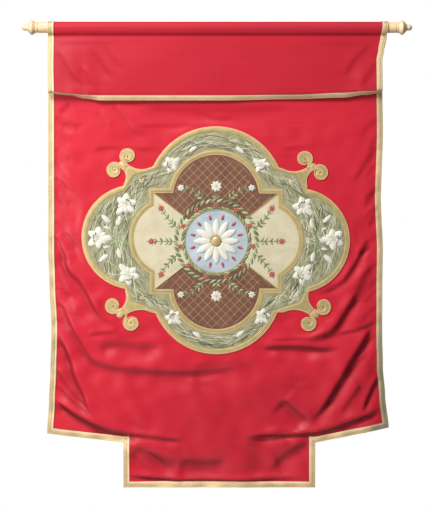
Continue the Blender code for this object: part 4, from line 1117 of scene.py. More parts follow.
def grown(outline, distance):
    """The clockwise outline moved outwards by a distance, with mitred corners and its loops cut out."""
    outline = evenly(outline, 0.003)
    moved = []
    for before, here, after in zip(outline[-1:] + outline[:-1], outline, outline[1:] + outline[:1]):
        sides = []
        for a, b in ((before, here), (here, after)):
            length = math.dist(a, b)
            sides.append(((b[1] - a[1]) / length, -(b[0] - a[0]) / length))
        spread = 1 + sides[0][0] * sides[1][0] + sides[0][1] * sides[1][1]
        moved.append((here[0] + (sides[0][0] + sides[1][0]) * distance / spread,
                      here[1] + (sides[0][1] + sides[1][1]) * distance / spread))
    away = edge_distance(outline, *np.array(moved).T)
    kept = []
    for point, gap in zip(moved, away):
        if gap > abs(distance) - 1e-5 and (not kept or math.dist(point, kept[-1]) > 0.0008):
            kept.append(point)
    return kept


def within(outlines, x, drop):
    """Which places are inside the first outline and outside the rest."""
    found = inside(outlines[0], x, drop)
    for hole in outlines[1:]:
        found &= ~inside(hole, x, drop)
    return found


def filled(outlines, step):
    """Points and triangles that fill a flat shape; its first outline is its edge, and the rest are holes."""
    points = []
    edges = []
    for outline in outlines:
        rim = evenly(outline, step)
        first = len(points)
        edges += [(first + k, first + (k + 1) % len(rim)) for k in range(len(rim))]
        points += rim
    low, high = np.min(points, axis=0), np.max(points, axis=0)
    x, drop = np.meshgrid(np.arange(low[0], high[0], step), np.arange(low[1], high[1], step * 0.866))
    x[1::2] += step / 2
    x, drop = x.ravel(), drop.ravel()
    clear = np.min([edge_distance(outline, x, drop) for outline in outlines], axis=0)
    kept = within(outlines, x, drop) & (clear > 0.6 * step)
    points += list(zip(x[kept], drop[kept]))
    flat = [Vector((x, -drop)) for x, drop in points]
    places, _, faces, _, _, _ = geometry.delaunay_2d_cdt(flat, edges, [], 1, 1e-7)
    places = np.array([tuple(place) for place in places]) * (1, -1)
    middles = places[np.array(faces)].mean(axis=1)
    faces = np.array(faces)[within(outlines, middles[:, 0], middles[:, 1])]
    return places, faces


def plate(name, outlines, step, height_at, finish):
    """A piece that lies on the flat part of the sheet. height_at takes the distances to its edge and to the
    nearest hole."""
    places, faces = filled(outlines, step)
    x, drop = places.T
    edge = edge_distance(outlines[0], x, drop)
    hole = np.min([edge_distance(outline, x, drop) for outline in outlines[1:] or outlines], axis=0)
    front = np.column_stack((x, PLATE_BACK - height_at(edge, hole), -drop))
    back = np.column_stack((x, np.full(len(x), PLATE_BACK), -drop))
    return slab(name, front, back, faces, finish, {}, {"edge": edge, "hole": hole}, 60)


ground_edge = ground_outline()
window = window_outline()
window_edge = grown(window, INNER_BORDER_WIDTH)
linen = Finish("embroidered_ground", 0.6, Sheen_Weight=0.25, Sheen_Roughness=0.5)
x_place, _, z_place = linen.place.parts()
drift = linen.place.noise((14.0, 1.0, 14.0), 3.0)
laid = linen.place.node("ShaderNodeCombineXYZ", {}, {
    0: x_place + z_place * 0.6 + drift * 0.02, 1: 0.0, 2: z_place - x_place * 0.6 + drift * 0.05})
strand = laid.noise((60.0, 1.0, 900.0), 2.0)
patch = linen.place.noise((35.0, 1.0, 35.0), 4.0)
sage = (strand * 0.7 + patch * 0.3).colours(
    (0.25, (0.185, 0.170, 0.080)), (0.5, (0.345, 0.325, 0.180)), (0.75, (0.54, 0.51, 0.33)))
linen.feed("Base Color", sage.shaded(0.82 + patch * 0.36))
linen.bump(strand * 0.8 + patch * 0.4, 0.0007, 0.8)
ground_shape = [grown(ground_edge, -SEAT_GAP), grown(window_edge, SEAT_GAP)]
ground = plate("embroidered_ground", ground_shape, GROUND_MESH,
               lambda edge, hole: np.full(len(edge), GROUND_THICKNESS), linen)
sewn(ground, "embroidered_ground", "medallion_ground")


# Both borders of the medallion are flat braid, a little domed, couched down with gold thread in close small
# stitches. A twisted peach cord is sewn along their edges. The outer one and the scrolls are a little
# lighter, and light is painted into the braid's tone from side to side.
couched = Finish("gold_border_braid", 0.48, Sheen_Weight=0.2, Sheen_Roughness=0.4)
speckle = couched.place.noise((520.0, 1.0, 520.0), 2.0)
couched_x, _, couched_z = couched.place.parts()
cross_stitch = (couched_x + couched_z).ripple(155.0) * (couched_x - couched_z).ripple(155.0)
above_middle = couched_z + 0.70
outer_braid = (couched_x * couched_x + above_middle * above_middle).between(0.085, 0.110)
mottle = couched.place.noise((45.0, 1.0, 45.0), 3.0)
old_gold = (speckle * 0.35 + cross_stitch * 0.50 + mottle * 0.20).colours(
    (0.25, (0.32, 0.245, 0.080)), (0.5, (0.61, 0.485, 0.205)), (0.75, (0.82, 0.67, 0.33)))
rosy_edge = 0.28 - 0.28 * couched.attribute("edge").between(0.004, 0.009)
old_gold = old_gold.laid_over(rosy_edge, (0.86, 0.58, 0.30))
# Painted light: lighter to the left on the outer braid and the scrolls, lighter to the right on the inner
# one; the mottle is the braid's own.
mottle_and_painted_light = 0.78 + mottle * 0.32 + couched_x * 0.20 + outer_braid * (0.12 - couched_x * 0.48)
couched.feed("Base Color", old_gold.shaded(mottle_and_painted_light))
couched.feed("Metallic", 0.12 + cross_stitch * 0.2)
couched.bump(cross_stitch * 0.7 + speckle * 0.3, 0.0006, 0.8)
BORDER_MESH = 0.0028
BORDER_LOW = 0.0013
BORDER_RISE = 0.0017


def border_height(edge, hole):
    return BORDER_LOW + BORDER_RISE * eased(np.minimum(edge, hole) / 0.0045)


border = plate("border_braid_outer", [border_edge, ground_edge], BORDER_MESH, border_height, couched)
sewn(border, "gold_border", "medallion_border")
inner_border = plate("border_braid_inner", [window_edge, window], BORDER_MESH, border_height, couched)
sewn(inner_border, "gold_border", "medallion_inner_border")

peach = Finish("peach_cord", 0.4, Sheen_Weight=0.25, Sheen_Roughness=0.35)
ply = peach.map("pad").parts()[1].ripple(1.2)
peach_wear = peach.place.noise((40.0, 40.0, 40.0), 3.0)
peach_thread = (ply * 0.5 + peach_wear * 0.5).colours(
    (0.1, (0.62, 0.33, 0.17)), (0.55, (0.84, 0.51, 0.28)), (0.9, (0.95, 0.69, 0.43)))
gold_thread = (ply * 0.5 + peach_wear * 0.5).colours(
    (0.1, (0.50, 0.36, 0.12)), (0.55, (0.76, 0.60, 0.27)), (0.9, (0.92, 0.78, 0.44)))
peach.feed("Base Color", peach_thread.laid_over(peach.attribute("tone"), gold_thread))
peach.bump(ply, 0.0003, 0.6)
cord_pad = pad_shape("cord_pad", 5, 3, lambda u: 0.25 + 0.75 * math.sin(math.pi * u) ** 0.7,
                     lambda u: 0.15 + 0.85 * math.sin(math.pi * u) ** 0.7)
CORD_PITCH = 0.0030
CORD_SLANT = math.radians(32)
TANGENT_REACH = 0.001


def turned_to(tangent, normal, slant):
    """Euler turn of a shape so that its X follows the tangent, slanted, and its -Y the normal."""
    tangent = tangent.normalized()
    side = normal.cross(tangent).normalized()
    forward = (tangent * math.cos(slant) + side * math.sin(slant)).normalized()
    up = -normal.normalized()
    return Matrix((forward, up, forward.cross(up))).transposed().to_euler()


def cord(name, paths, length, width, height, finish, tone=0.0):
    """A twisted cord of small pads along paths, each a list of places and one of the directions they face."""
    places = []
    turns = []
    for line, facing in paths:
        line = np.asarray(line)
        run = np.concatenate(((0.0,), np.cumsum(np.linalg.norm(np.diff(line, axis=0), axis=1))))
        at = np.arange(CORD_PITCH / 2, run[-1], CORD_PITCH)
        spots, ahead, behind, faced = (
            np.column_stack([np.interp(at + step, run, column) for column in np.transpose(values)])
            for step, values in ((0.0, line), (TANGENT_REACH, line), (-TANGENT_REACH, line), (0.0, facing)))
        for here, tangent, normal in zip(spots, ahead - behind, faced):
            turn_here = turned_to(Vector(tangent), Vector(normal), CORD_SLANT)
            places.append(Vector(here) - turn_here.to_matrix() @ Vector((length / 2, 0.0, 0.0)))
            turns.append(turn_here)
    count = len(places)
    source = point_cloud(name, places, turns, [(length, height, width)] * count, [tone] * count)
    sewn(worked(name, source, set_tree, Shape=cord_pad, Growth=1.0, Finish=finish.material), "gold_border")


FORWARD = (0.0, -1.0, 0.0)


def flat_path(outline, y, closed=True):
    """A path at one depth along an outline, facing forwards."""
    points = list(outline) + (list(outline[:1]) if closed else [])
    return [(x, y, -drop) for x, drop in points], [FORWARD] * len(points)


CORD_INSET = 0.0021
# Length, width and height of one of the cord's turns
CORD_SIZE = (0.0046, 0.0035, 0.0015)
cord("border_cord_outer", [flat_path(grown(border_edge, -CORD_INSET), PLATE_BACK - 0.0019)], *CORD_SIZE,
     peach)
cord("border_cord_inner",
     [flat_path(grown(window_edge, -CORD_INSET), PLATE_BACK - 0.0019),
      flat_path(grown(window, 0.0015), PLATE_BACK - 0.0017)], *CORD_SIZE, peach, 0.85)


# Each scroll is a ribbon of the same braid, curled round a dark stitched eye, with a peach cord that follows
# its outer edge and goes on inwards as a spiral.
SCROLL_MESH = 0.0024
SCROLL_LOW = 0.0012
SCROLL_RISE = 0.0014
EYE_RADIUS = 0.0042
HEART_RADIUS = 0.0165
KNOT_SIZE = (0.031, 0.0030, 0.026)
# The cord's turn, in degrees, and where on it the cord starts to close in
SPIRAL_TURN = 500
SPIRAL_FROM = 215
scroll_paths = []
for name, (outer, inner) in scroll_shapes.items():
    centre_x, centre_drop, _, direction = SCROLLS[name]
    piece = plate("scroll_braid_" + name, [outer + inner[::-1]], SCROLL_MESH,
                  lambda edge, hole: SCROLL_LOW + SCROLL_RISE * eased(edge / 0.004), couched)
    sewn(piece, "gold_border", "scroll_" + name)
    start = math.atan2(outer[1][1] - centre_drop, outer[1][0] - centre_x)
    spiral = [(outer[0][0] * 0.6 + outer[1][0] * 0.4, outer[0][1] * 0.6 + outer[1][1] * 0.4)]
    for degrees in range(0, SPIRAL_TURN, 8):
        angle = start + direction * math.radians(degrees)
        closing = max(0.0, (degrees - SPIRAL_FROM) / (SPIRAL_TURN - SPIRAL_FROM))
        radius = SCROLL_RADIUS - CORD_INSET - 0.0165 * closing
        spiral.append((centre_x + radius * math.cos(angle), centre_drop + radius * math.sin(angle)))
    scroll_paths.append(flat_path(spiral, PLATE_BACK - 0.0021, False))
cord("scroll_cords", scroll_paths, *CORD_SIZE, peach, 0.35)

eye_finish = Finish("brown_eye_stitches", 0.6)
eye_thread = eye_finish.place.noise((700.0, 1.0, 700.0), 2.0)
eye_finish.feed("Base Color", eye_thread.colours((0.3, (0.075, 0.028, 0.015)), (0.7, (0.20, 0.10, 0.05))))
eye_finish.bump(eye_thread, 0.0004)
dome = pad_shape("eye_dome", 7, 5, lambda u: 2 * math.sqrt(max(0.01, u * (1 - u))),
                 lambda u: math.sin(math.pi * u))


def scattered(name, shapes, pad, depth, finish, slot, tones=None):
    """Flat shapes on the medallion, each a root as x and drop, a heading in degrees clockwise from the right,
    and a size."""
    places = [(x, depth, -drop) for (x, drop), _, _ in shapes]
    turns = [(0.0, math.radians(heading), 0.0) for _, heading, _ in shapes]
    source = point_cloud(name, places, turns, [size_here for _, _, size_here in shapes],
                         tones or [0.5] * len(shapes))
    sewn(worked(name, source, set_tree, Shape=pad, Growth=1.0, Finish=finish.material), slot)


def round_shapes(middles, radius, height):
    return [((x - radius, drop), 0, (2 * radius, height, 2 * radius)) for x, drop in middles]


MIDDLE_DROP = 0.703
scroll_middles = [row[:2] for row in SCROLLS.values()]
knots = []
for _, (ax, a_drop), (bx, b_drop), _, _ in CORNERS.values():
    middle = ((ax + bx) / 2, (a_drop + b_drop) / 2)
    knots.append((middle, math.degrees(math.atan2(middle[1] - MIDDLE_DROP, middle[0])), KNOT_SIZE))
scattered("scroll_eyes", round_shapes(scroll_middles, EYE_RADIUS, 0.0018), dome, PLATE_BACK - 0.0006,
          eye_finish, "gold_border")
scattered("scroll_hearts", round_shapes(scroll_middles, HEART_RADIUS, 0.0017), dome, PLATE_BACK - 0.0001,
          couched, "gold_border")
scattered("scroll_knots", knots, dome, PLATE_BACK - 0.0001, couched, "gold_border")


# The ground is filled with long thin blades of laid silk thread in greys and greens. They run round the ring,
# cross each other freely, and spread from the two clumps at its sides and the rosettes at its corners.
spin_tree, socket = new_tree("spin_threads_on_lines", {
    "Geometry": "Geometry", "Sides": "Int", "Thickness": "Float", "Finish": "Material"})
line = socket["Geometry"].node("GeometryNodeMeshToCurve", {}, {"Mesh": socket["Geometry"]})
ring = line.node("GeometryNodeCurvePrimitiveCircle", {}, {"Resolution": socket["Sides"], "Radius": 1.0})
width = line.node("GeometryNodeInputNamedAttribute", {"data_type": "FLOAT"}, {"Name": "width"})
spun = line.node("GeometryNodeCurveToMesh", {}, {
    "Curve": line, "Profile Curve": ring, "Scale": width * socket["Thickness"], "Fill Caps": True})
close_tree(spun, socket["Finish"])


def threads(name, lines, finish, slot):
    """Laid threads along lines, each a list of places, a list of widths and a tone from 0 to 1."""
    places = []
    edges = []
    widths = []
    tones = []
    for line_places, line_widths, tone in lines:
        first = len(places)
        places += [tuple(place) for place in line_places]
        edges += [(first + k, first + k + 1) for k in range(len(line_places) - 1)]
        widths += list(line_widths)
        tones += [tone] * len(line_places)
    mesh = bpy.data.meshes.new(name)
    mesh.from_pydata(places, edges, [])
    give_maps(mesh, {}, {"width": widths, "tone": tones})
    piece = worked(name, mesh, spin_tree, Sides=5, Thickness=1.0, Finish=finish.material)
    piece.data.shade_smooth()
    sewn(piece, slot)


def laid_line(points, depth, width, tone):
    """A thread of one width along points, given as x and drop."""
    return [(x, depth, -drop) for x, drop in points], [width] * len(points), tone


def curved_line(start, angles, pace):
    """The x and drop of a line's points, each a pace from the last one in its own direction."""
    x = start[0] + np.concatenate(((0.0,), np.cumsum(np.cos(angles[1:]) * pace)))
    drop = start[1] + np.concatenate(((0.0,), np.cumsum(np.sin(angles[1:]) * pace)))
    return x, drop


silk = Finish("embroidery_silk", 0.45, Sheen_Weight=0.3, Sheen_Roughness=0.4)
tone = silk.attribute("tone")
floss = silk.place.noise((300.0, 300.0, 300.0), 2.0)
greens = (tone + floss * 0.12 - 0.06).colours(
    (0.05, (0.080, 0.070, 0.028)), (0.30, (0.20, 0.205, 0.095)), (0.50, (0.30, 0.36, 0.18)),
    (0.72, (0.56, 0.58, 0.38)), (0.90, (0.86, 0.83, 0.63)))
silk.feed("Base Color", greens.shaded(0.9 + floss * 0.2))
silk.bump(floss, 0.0003, 0.7)

GROUND_FRONT = PLATE_BACK - GROUND_THICKNESS
RING_CENTRE = (-0.003, 0.705)
LEFT_CLUMP = (-0.330, 0.694)
RIGHT_CLUMP = (0.327, 0.701)
chance = np.random.default_rng(11)
ring_shape = [grown(ground_edge, -0.003), grown(window_edge, 0.003)]
BLADE_POINTS = 13


def blade_lines(starts, headings, reach, bend, width, shades, odds):
    """Curved blades of random length, bend and shade, tapered at both ends, that stop where they would leave
    the ground."""
    count = len(starts)
    lengths = chance.uniform(*reach, count)
    bends = chance.normal(0.0, bend, count)
    steps = np.linspace(0.0, 1.0, BLADE_POINTS)
    lines = []
    for start, heading, length, bend_here, shade in zip(
            starts, headings, lengths, bends, chance.choice(shades, count, p=odds)):
        x, drop = curved_line(start, heading + bend_here * length * steps, length / (BLADE_POINTS - 1))
        free = within(ring_shape, x, drop)
        kept = BLADE_POINTS if free.all() else int(np.argmin(free))
        if kept >= 4:
            shares = np.linspace(0.0, 1.0, kept)
            widths = width * (0.35 + 0.65 * np.sin(math.pi * np.clip(shares * 0.9 + 0.08, 0, 1)))
            height = GROUND_FRONT - 0.0001 - 0.0005 * chance.random()
            lines.append(([(a, height, -b) for a, b in zip(x[:kept], drop[:kept])], widths, shade))
    return lines


def ring_places(count):
    """Random places on the ring's ground."""
    low, high = np.min(ring_shape[0], axis=0), np.max(ring_shape[0], axis=0)
    places = low + (high - low) * chance.random((count * 4, 2))
    return places[within(ring_shape, places[:, 0], places[:, 1])][:count]


def round_ring(places):
    """Headings that follow the ring at places on it."""
    return np.arctan2(places[:, 1] - RING_CENTRE[1], places[:, 0] - RING_CENTRE[0]) + math.pi / 2


starts = ring_places(1000)
count = len(starts)
headings = round_ring(starts) + chance.normal(0.0, 0.34, count) + math.pi * chance.integers(0, 2, count)
blades = blade_lines(starts, headings, (0.035, 0.110), 6.0, 0.00080,
                     (0.06, 0.25, 0.45, 0.74, 0.95), (0.28, 0.14, 0.10, 0.16, 0.32))
CLUMP_BLADES = 130
for clump in (LEFT_CLUMP, RIGHT_CLUMP):
    headings = chance.uniform(-math.pi, math.pi, CLUMP_BLADES)
    starts = np.array(clump) + chance.normal(0.0, 0.008, (CLUMP_BLADES, 2))
    blades += blade_lines(starts, headings, (0.020, 0.070), 12.0, 0.00075,
                          (0.12, 0.48, 0.60, 0.90), (0.22, 0.33, 0.20, 0.25))
ROSETTES = ((-0.2475, 0.506), (0.244, 0.511), (-0.2475, 0.892), (0.2475, 0.889))
ROSETTE_BLADES = 34
for rosette in ROSETTES:
    starts = np.array(rosette) + chance.normal(0.0, 0.010, (ROSETTE_BLADES, 2))
    headings = chance.uniform(-math.pi, math.pi, ROSETTE_BLADES)
    blades += blade_lines(starts, headings, (0.018, 0.050), 14.0, 0.0006,
                          (0.10, 0.30, 0.75, 0.90), (0.3, 0.2, 0.25, 0.25))
threads("ground_blades", blades, silk, "embroidered_ground")


# Lilies stand up from the ground: six padded white petals round a throat, a long trumpet behind them, and
# stamens with dark brown heads. Slim white buds lie between them, and green stems gather in the clumps.
petal_silk = Finish("white_petal_silk", 0.42, Sheen_Weight=0.35, Sheen_Roughness=0.35)
petal_u, petal_v, _ = petal_silk.map("pad").parts()
satin_stitch = (petal_v * 9.0 + petal_u * 1.5).ripple(1.0)
petal_shade = petal_silk.place.noise((120.0, 120.0, 120.0), 3.0)
ivory = (petal_shade * 0.4 + petal_v.absolute() * 0.25 + petal_u * 0.35).colours(
    (0.15, (0.70, 0.69, 0.50)), (0.40, (0.88, 0.85, 0.71)), (0.75, (0.94, 0.92, 0.83)))
petal_silk.feed("Base Color", ivory.shaded(0.90 + satin_stitch * 0.10))
petal_silk.bump(satin_stitch, 0.0004, 0.7)
petal_pad = pad_shape(
    "petal_pad", 8, 5, lambda u: math.sin(math.pi * (0.04 + 0.96 * u) ** 0.85) ** 0.6 + 0.01,
    lambda u: 0.25 + 0.75 * math.sin(math.pi * u) ** 0.8)
# Middle of the throat as x and drop, heading in degrees clockwise from the right, length of a petal
LILIES = (
    (-0.390, 0.694, 182, 0.040), (-0.301, 0.585, 312, 0.038), (-0.294, 0.815, 52, 0.038),
    (0.382, 0.699, -2, 0.039), (0.286, 0.592, 222, 0.036), (0.283, 0.812, 132, 0.036),
    (-0.150, 0.450, 143, 0.029), (0.146, 0.454, 38, 0.029), (-0.142, 0.958, 222, 0.029),
    (0.150, 0.955, 318, 0.029))
# Lean of each petal in degrees, and its share of the length
PETAL_FAN = ((-38, 1.0), (30, 0.95), (-92, 0.88), (88, 0.92), (-142, 0.66), (140, 0.66))
# Middle of a bud, its heading, its length
BUDS = (
    (-0.366, 0.632, 222, 0.036), (-0.323, 0.638, 285, 0.036), (-0.363, 0.661, 200, 0.022),
    (-0.363, 0.724, 172, 0.022), (-0.323, 0.744, 78, 0.036), (-0.373, 0.760, 140, 0.036),
    (0.313, 0.648, 262, 0.034), (0.363, 0.632, 318, 0.034), (0.353, 0.665, 338, 0.020),
    (0.353, 0.731, 14, 0.022), (0.317, 0.757, 102, 0.034), (0.366, 0.763, 44, 0.036),
    (-0.079, 0.401, 145, 0.032), (0.076, 0.404, 38, 0.032), (-0.066, 1.014, 215, 0.032),
    (0.076, 1.011, 322, 0.032))
PETAL_WIDTH = 0.70
PETAL_HEIGHT = 0.0033


def ahead_of(x, drop, degrees, distance):
    angle = math.radians(degrees)
    return x + math.cos(angle) * distance, drop + math.sin(angle) * distance


def clump_for(x, drop, heading, back):
    """Where a stem comes from: the clump at its side of the ring, or a place behind the flower."""
    if abs(x) > 0.28:
        return LEFT_CLUMP if x < 0 else RIGHT_CLUMP
    return ahead_of(x, drop, heading + 180, back)


petals = []
stamens = []
heads = []
stems = []
for x, drop, heading, length in LILIES:
    base = ahead_of(x, drop, heading + 180, length * 1.15)
    petals.append((base, heading, (length * 1.35, 0.0030, length * 0.55)))
    for lean, share in PETAL_FAN:
        root = ahead_of(x, drop, heading + lean, length * 0.06)
        petals.append((root, heading + lean, (length * share, PETAL_HEIGHT, length * share * PETAL_WIDTH)))
    for lean in (-44, -16, 12, 40):
        tip = ahead_of(x, drop, heading + lean, length * 0.42)
        stamens.append(([(x, GROUND_FRONT - 0.0034, -drop), (tip[0], GROUND_FRONT - 0.0042, -tip[1])],
                        [0.00045, 0.0004], 0.80))
        heads.append((tip, heading + lean + 70, (0.0075, 0.0022, 0.0038)))
    clump = clump_for(x, drop, heading, 0.075)
    middle = ((base[0] + clump[0]) / 2 + 0.004, (base[1] + clump[1]) / 2 + 0.004)
    stems.append(laid_line(rounded_route((clump, middle, base), 4), GROUND_FRONT - 0.0009, 0.0012, 0.50))
for x, drop, heading, length in BUDS:
    root = ahead_of(x, drop, heading + 180, length / 2)
    petals.append((root, heading, (length * 1.08, 0.0028, length * 0.45)))
    stems.append(laid_line((clump_for(x, drop, heading, 0.05), root), GROUND_FRONT - 0.0008, 0.0009, 0.55))
scattered("lily_petals", petals, petal_pad, GROUND_FRONT, petal_silk, "embroidered_ground")
threads("lily_stems", stems, silk, "embroidered_ground")
threads("lily_stamens", stamens, silk, "embroidered_ground")
scattered("lily_stamen_heads", heads, stitch_pad, GROUND_FRONT - 0.0046, eye_finish, "embroidered_ground")
rosette_petals = [(place, 72 * k + 18, (0.0085, 0.0018, 0.0062)) for place in ROSETTES for k in range(5)]
scattered("rosette_petals", rosette_petals, petal_pad, GROUND_FRONT, peach, "embroidered_ground")
scattered("rosette_eyes", round_shapes(ROSETTES, 0.0018, 0.0012), dome, GROUND_FRONT - 0.0012, eye_finish,
          "embroidered_ground")


# The window holds an embroidered panel of ordinary garden ornament. A wreath of leaves lies round a pale blue
# roundel in its middle, with brown silk and a trellis above and below, and cream silk and sprigs beside it.
CENTRE_THICKNESS = 0.0022
CENTRE_MESH = 0.0075
CENTRE_FRONT = PLATE_BACK - CENTRE_THICKNESS
ROUNDEL = (-0.002, 0.705)
ROUNDEL_RADIUS = 0.104
DIAGONAL = 0.158 / 0.205
silks = Finish("embroidered_centre", 0.58, Sheen_Weight=0.25, Sheen_Roughness=0.5)
x_place, _, z_place = silks.place.parts()
from_x = x_place - ROUNDEL[0]
from_z = z_place + ROUNDEL[1]
radius = (from_x * from_x + from_z * from_z).root()
beside = (from_x.absolute() * DIAGONAL - from_z.absolute()).between(-0.0006, 0.0006)
in_roundel = 1.0 - radius.between(ROUNDEL_RADIUS - 0.0006, ROUNDEL_RADIUS + 0.0006)
floss_line = silks.place.noise((40.0, 1.0, 800.0), 2.0)
cloud = silks.place.noise((22.0, 1.0, 22.0), 4.0)
grain = silks.place.noise((240.0, 1.0, 240.0), 2.0)
brown = (floss_line * 0.5 + cloud * 0.5).colours(
    (0.25, (0.105, 0.034, 0.020)), (0.55, (0.19, 0.072, 0.042)), (0.8, (0.30, 0.145, 0.085)))
cream = (floss_line * 0.4 + cloud * 0.6).colours(
    (0.25, (0.52, 0.46, 0.28)), (0.55, (0.68, 0.60, 0.41)), (0.8, (0.80, 0.74, 0.58)))
blue = (floss_line * 0.4 + cloud * 0.6).colours(
    (0.25, (0.30, 0.38, 0.44)), (0.55, (0.47, 0.55, 0.60)), (0.8, (0.68, 0.73, 0.74)))
field = brown.laid_over(beside, cream).laid_over(in_roundel, blue)
silks.feed("Base Color", field.shaded(0.82 + grain * 0.36))
silks.bump(floss_line * 0.6 + grain * 0.5, 0.0006, 0.8)
centre = plate("embroidered_centre", [grown(window, -SEAT_GAP)], CENTRE_MESH,
               lambda edge, hole: np.full(len(edge), CENTRE_THICKNESS), silks)
sewn(centre, "embroidered_centre", "medallion_centre")


def polar(angle_degrees, distance):
    """A place by its direction, clockwise from the right, and distance from the roundel's middle."""
    return ahead_of(ROUNDEL[0], ROUNDEL[1], angle_degrees, distance)


leaf_silk = Finish("leaf_silk", 0.48, Sheen_Weight=0.3, Sheen_Roughness=0.4)
leaf_tone = leaf_silk.attribute("tone")
leaf_vein = leaf_silk.map("pad").parts()[1]
leaf_floss = leaf_silk.place.noise((260.0, 260.0, 260.0), 2.0)
vein = 1.0 - leaf_vein.absolute().between(0.02, 0.22)
leaf_green = (leaf_tone + leaf_floss * 0.25 - 0.12).colours(
    (0.05, (0.085, 0.13, 0.055)), (0.45, (0.20, 0.27, 0.12)), (0.95, (0.43, 0.50, 0.26)))
leaf_silk.feed("Base Color", leaf_green.laid_over(vein * 0.45, (0.50, 0.52, 0.30)))
leaf_silk.bump(leaf_floss, 0.0004, 0.7)
leaf_pad = pad_shape("leaf_pad", 6, 3, lambda u: math.sin(math.pi * u ** 0.85) ** 0.9 + 0.02,
                     lambda u: 0.3 + 0.7 * math.sin(math.pi * u))
leaves = []
leaf_tones = []
WREATH_RADIUS = 0.121
WREATH_LEAVES = 44
for k in range(WREATH_LEAVES):
    angle = 360 / WREATH_LEAVES * k
    for lean, reach in ((62, 0.006), (118, -0.006)):
        leaves.append((polar(angle, WREATH_RADIUS + reach), angle + lean, (0.026, 0.0022, 0.0105)))
        leaf_tones.append(chance.uniform(0.1, 0.9))
SPRIG_POINTS = 14
sprig_lines = []


def sprig(root, heading, length, bend, pairs):
    """A curved stem with pairs of leaves and one at its tip; gives the place of the tip."""
    last = SPRIG_POINTS - 1
    angles = np.radians(heading) + bend * np.linspace(0.0, 1.0, SPRIG_POINTS)
    x, drop = curved_line(root, angles, length / last)
    sprig_lines.append(laid_line(list(zip(x, drop)), CENTRE_FRONT - 0.0006, 0.0011, 0.35))
    for k in np.linspace(2, last - 1, pairs).round().astype(int):
        size_here = 0.017 * (1.15 - 0.4 * k / 12)
        for lean in (-48, 48):
            leaf_size = (size_here, 0.0020, size_here * 0.42)
            leaves.append(((x[k], drop[k]), math.degrees(angles[k]) + lean, leaf_size))
            leaf_tones.append(chance.uniform(0.2, 1.0))
    leaves.append(((x[-1], drop[-1]), math.degrees(angles[-1]), (0.016, 0.0020, 0.007)))
    leaf_tones.append(0.7)
    return x[-1], drop[-1]


blooms = []
for heading in (0, 180):
    for lean, length, bend in ((0, 0.082, 0.0), (-34, 0.088, -0.5), (34, 0.088, 0.5)):
        root = polar(heading + lean * 0.55, WREATH_RADIUS + 0.012)
        blooms.append((sprig(root, heading + lean, length, bend, 5), 0.0115, 6, "rose"))
for heading in (270, 90):
    for lean, length, bend in ((-32, 0.095, -0.9), (32, 0.095, 0.9)):
        root = polar(heading + lean * 0.5, WREATH_RADIUS + 0.014)
        blooms.append((sprig(root, heading + lean, length, bend, 5), 0.012, 6, "ivory"))
    blooms.append((polar(heading, WREATH_RADIUS + 0.060), 0.019, 8, "ivory"))
    sprig(polar(heading, WREATH_RADIUS + 0.012), heading, 0.036, 0.0, 2)
WREATH_ROSES = 11
for k in range(WREATH_ROSES):
    blooms.append((polar(360 / WREATH_ROSES * k + 8, WREATH_RADIUS), 0.0105, 5, "rose"))
scattered("garden_leaves", leaves, leaf_pad, CENTRE_FRONT, leaf_silk, "embroidered_centre", leaf_tones)
threads("garden_stems", sprig_lines, silk, "embroidered_centre")

rose_silk = Finish("rose_petal_silk", 0.45, Sheen_Weight=0.3, Sheen_Roughness=0.4)
rose_u, rose_v, _ = rose_silk.map("pad").parts()
rose_stitch = (rose_v * 7.0 + rose_u).ripple(1.0)
rose_red = (rose_u * 0.8 + rose_silk.place.noise((160.0, 160.0, 160.0)) * 0.3).colours(
    (0.1, (0.34, 0.035, 0.035)), (0.6, (0.62, 0.12, 0.10)), (1.0, (0.80, 0.42, 0.32)))
rose_silk.feed("Base Color", rose_red.shaded(0.9 + rose_stitch * 0.1))
rose_silk.bump(rose_stitch, 0.0003, 0.7)
bloom_petals = {"rose": [], "ivory": []}
bloom_eyes = []
for (x, drop), size_here, count, kind in blooms:
    for k in range(count):
        bloom_petals[kind].append(((x, drop), 360 / count * k + 15, (size_here, 0.0022, size_here * 0.66)))
    bloom_eyes += round_shapes([(x, drop)], size_here * 0.16, 0.0016)
for k in range(12):
    bloom_petals["ivory"].append((polar(30 * k, 0.016), 30 * k, (0.060, 0.0030, 0.024)))
    bloom_petals["rose"].append((polar(30 * k + 15, 0.072), 30 * k + 15, (0.020, 0.0022, 0.009)))
scattered("rose_petals", bloom_petals["rose"], petal_pad, CENTRE_FRONT - 0.0008, rose_silk,
          "embroidered_centre")
scattered("ivory_petals", bloom_petals["ivory"], petal_pad, CENTRE_FRONT - 0.0006, petal_silk,
          "embroidered_centre")
seed_gold = Finish("gold_knot_stitches", 0.42, Metallic=0.35)
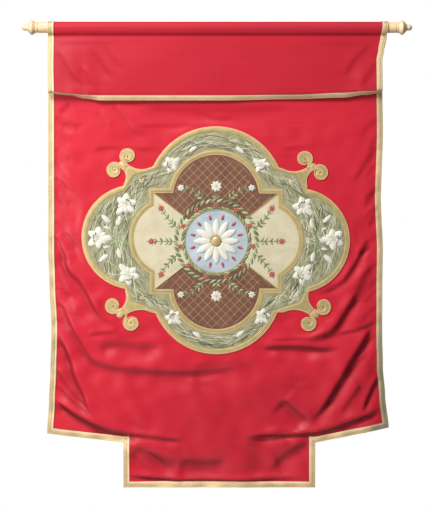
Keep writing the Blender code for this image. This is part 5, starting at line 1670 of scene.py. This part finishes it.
knot = seed_gold.place.noise((520.0, 520.0, 520.0), 2.0)
seed_gold.feed("Base Color", knot.colours((0.3, (0.42, 0.28, 0.09)), (0.7, (0.78, 0.60, 0.28))))
seed_gold.bump(knot, 0.0005)
bloom_eyes += round_shapes([ROUNDEL], 0.017, 0.0034)
scattered("flower_eyes", bloom_eyes, dome, CENTRE_FRONT - 0.0022, seed_gold, "embroidered_centre")

TRELLIS_PITCH = 0.030
TRELLIS_LINES = 24
TRELLIS_RUN = np.linspace(-0.42, 0.42, 421)
OUTSIDE_WREATH = WREATH_RADIUS + 0.012
trellis = []
window_inner = [grown(window, -0.004)]
for slope in (1, -1):
    for k in range(-TRELLIS_LINES, TRELLIS_LINES + 1):
        x = ROUNDEL[0] + TRELLIS_RUN
        drop = ROUNDEL[1] + slope * TRELLIS_RUN + k * TRELLIS_PITCH
        off_x, off_z = np.abs(x - ROUNDEL[0]), np.abs(drop - ROUNDEL[1])
        free = within(window_inner, x, drop) & (np.hypot(off_x, off_z) > OUTSIDE_WREATH)
        free &= off_z > off_x * DIAGONAL + 0.005
        for first in np.flatnonzero(free & ~np.roll(free, 1)):
            stop = first
            while stop < len(x) and free[stop]:
                stop += 1
            chosen = slice(first, stop, 6)
            if len(x[chosen]) >= 3:
                points = list(zip(x[chosen], drop[chosen]))
                trellis.append(laid_line(points, CENTRE_FRONT - 0.0002, 0.0007, 0.5))
threads("gold_trellis", trellis, seed_gold, "embroidered_centre")
circle = [polar(angle, ROUNDEL_RADIUS) for angle in range(0, 360, 4)]
divider_paths = [flat_path(circle, CENTRE_FRONT - 0.0008)]
for place, direction in zip(WINDOW_CORNERS, (217.6, 322.4, 37.6, 142.4)):
    divider = [polar(direction, OUTSIDE_WREATH), place]
    divider_paths.append(flat_path(divider, CENTRE_FRONT - 0.0008, False))
cord("window_cords", divider_paths, *CORD_SIZE, seed_gold)


# The shapes that were set many times are removed.
for template in (stitch_pad, cord_pad, dome, petal_pad, leaf_pad):
    bpy.data.objects.remove(template)
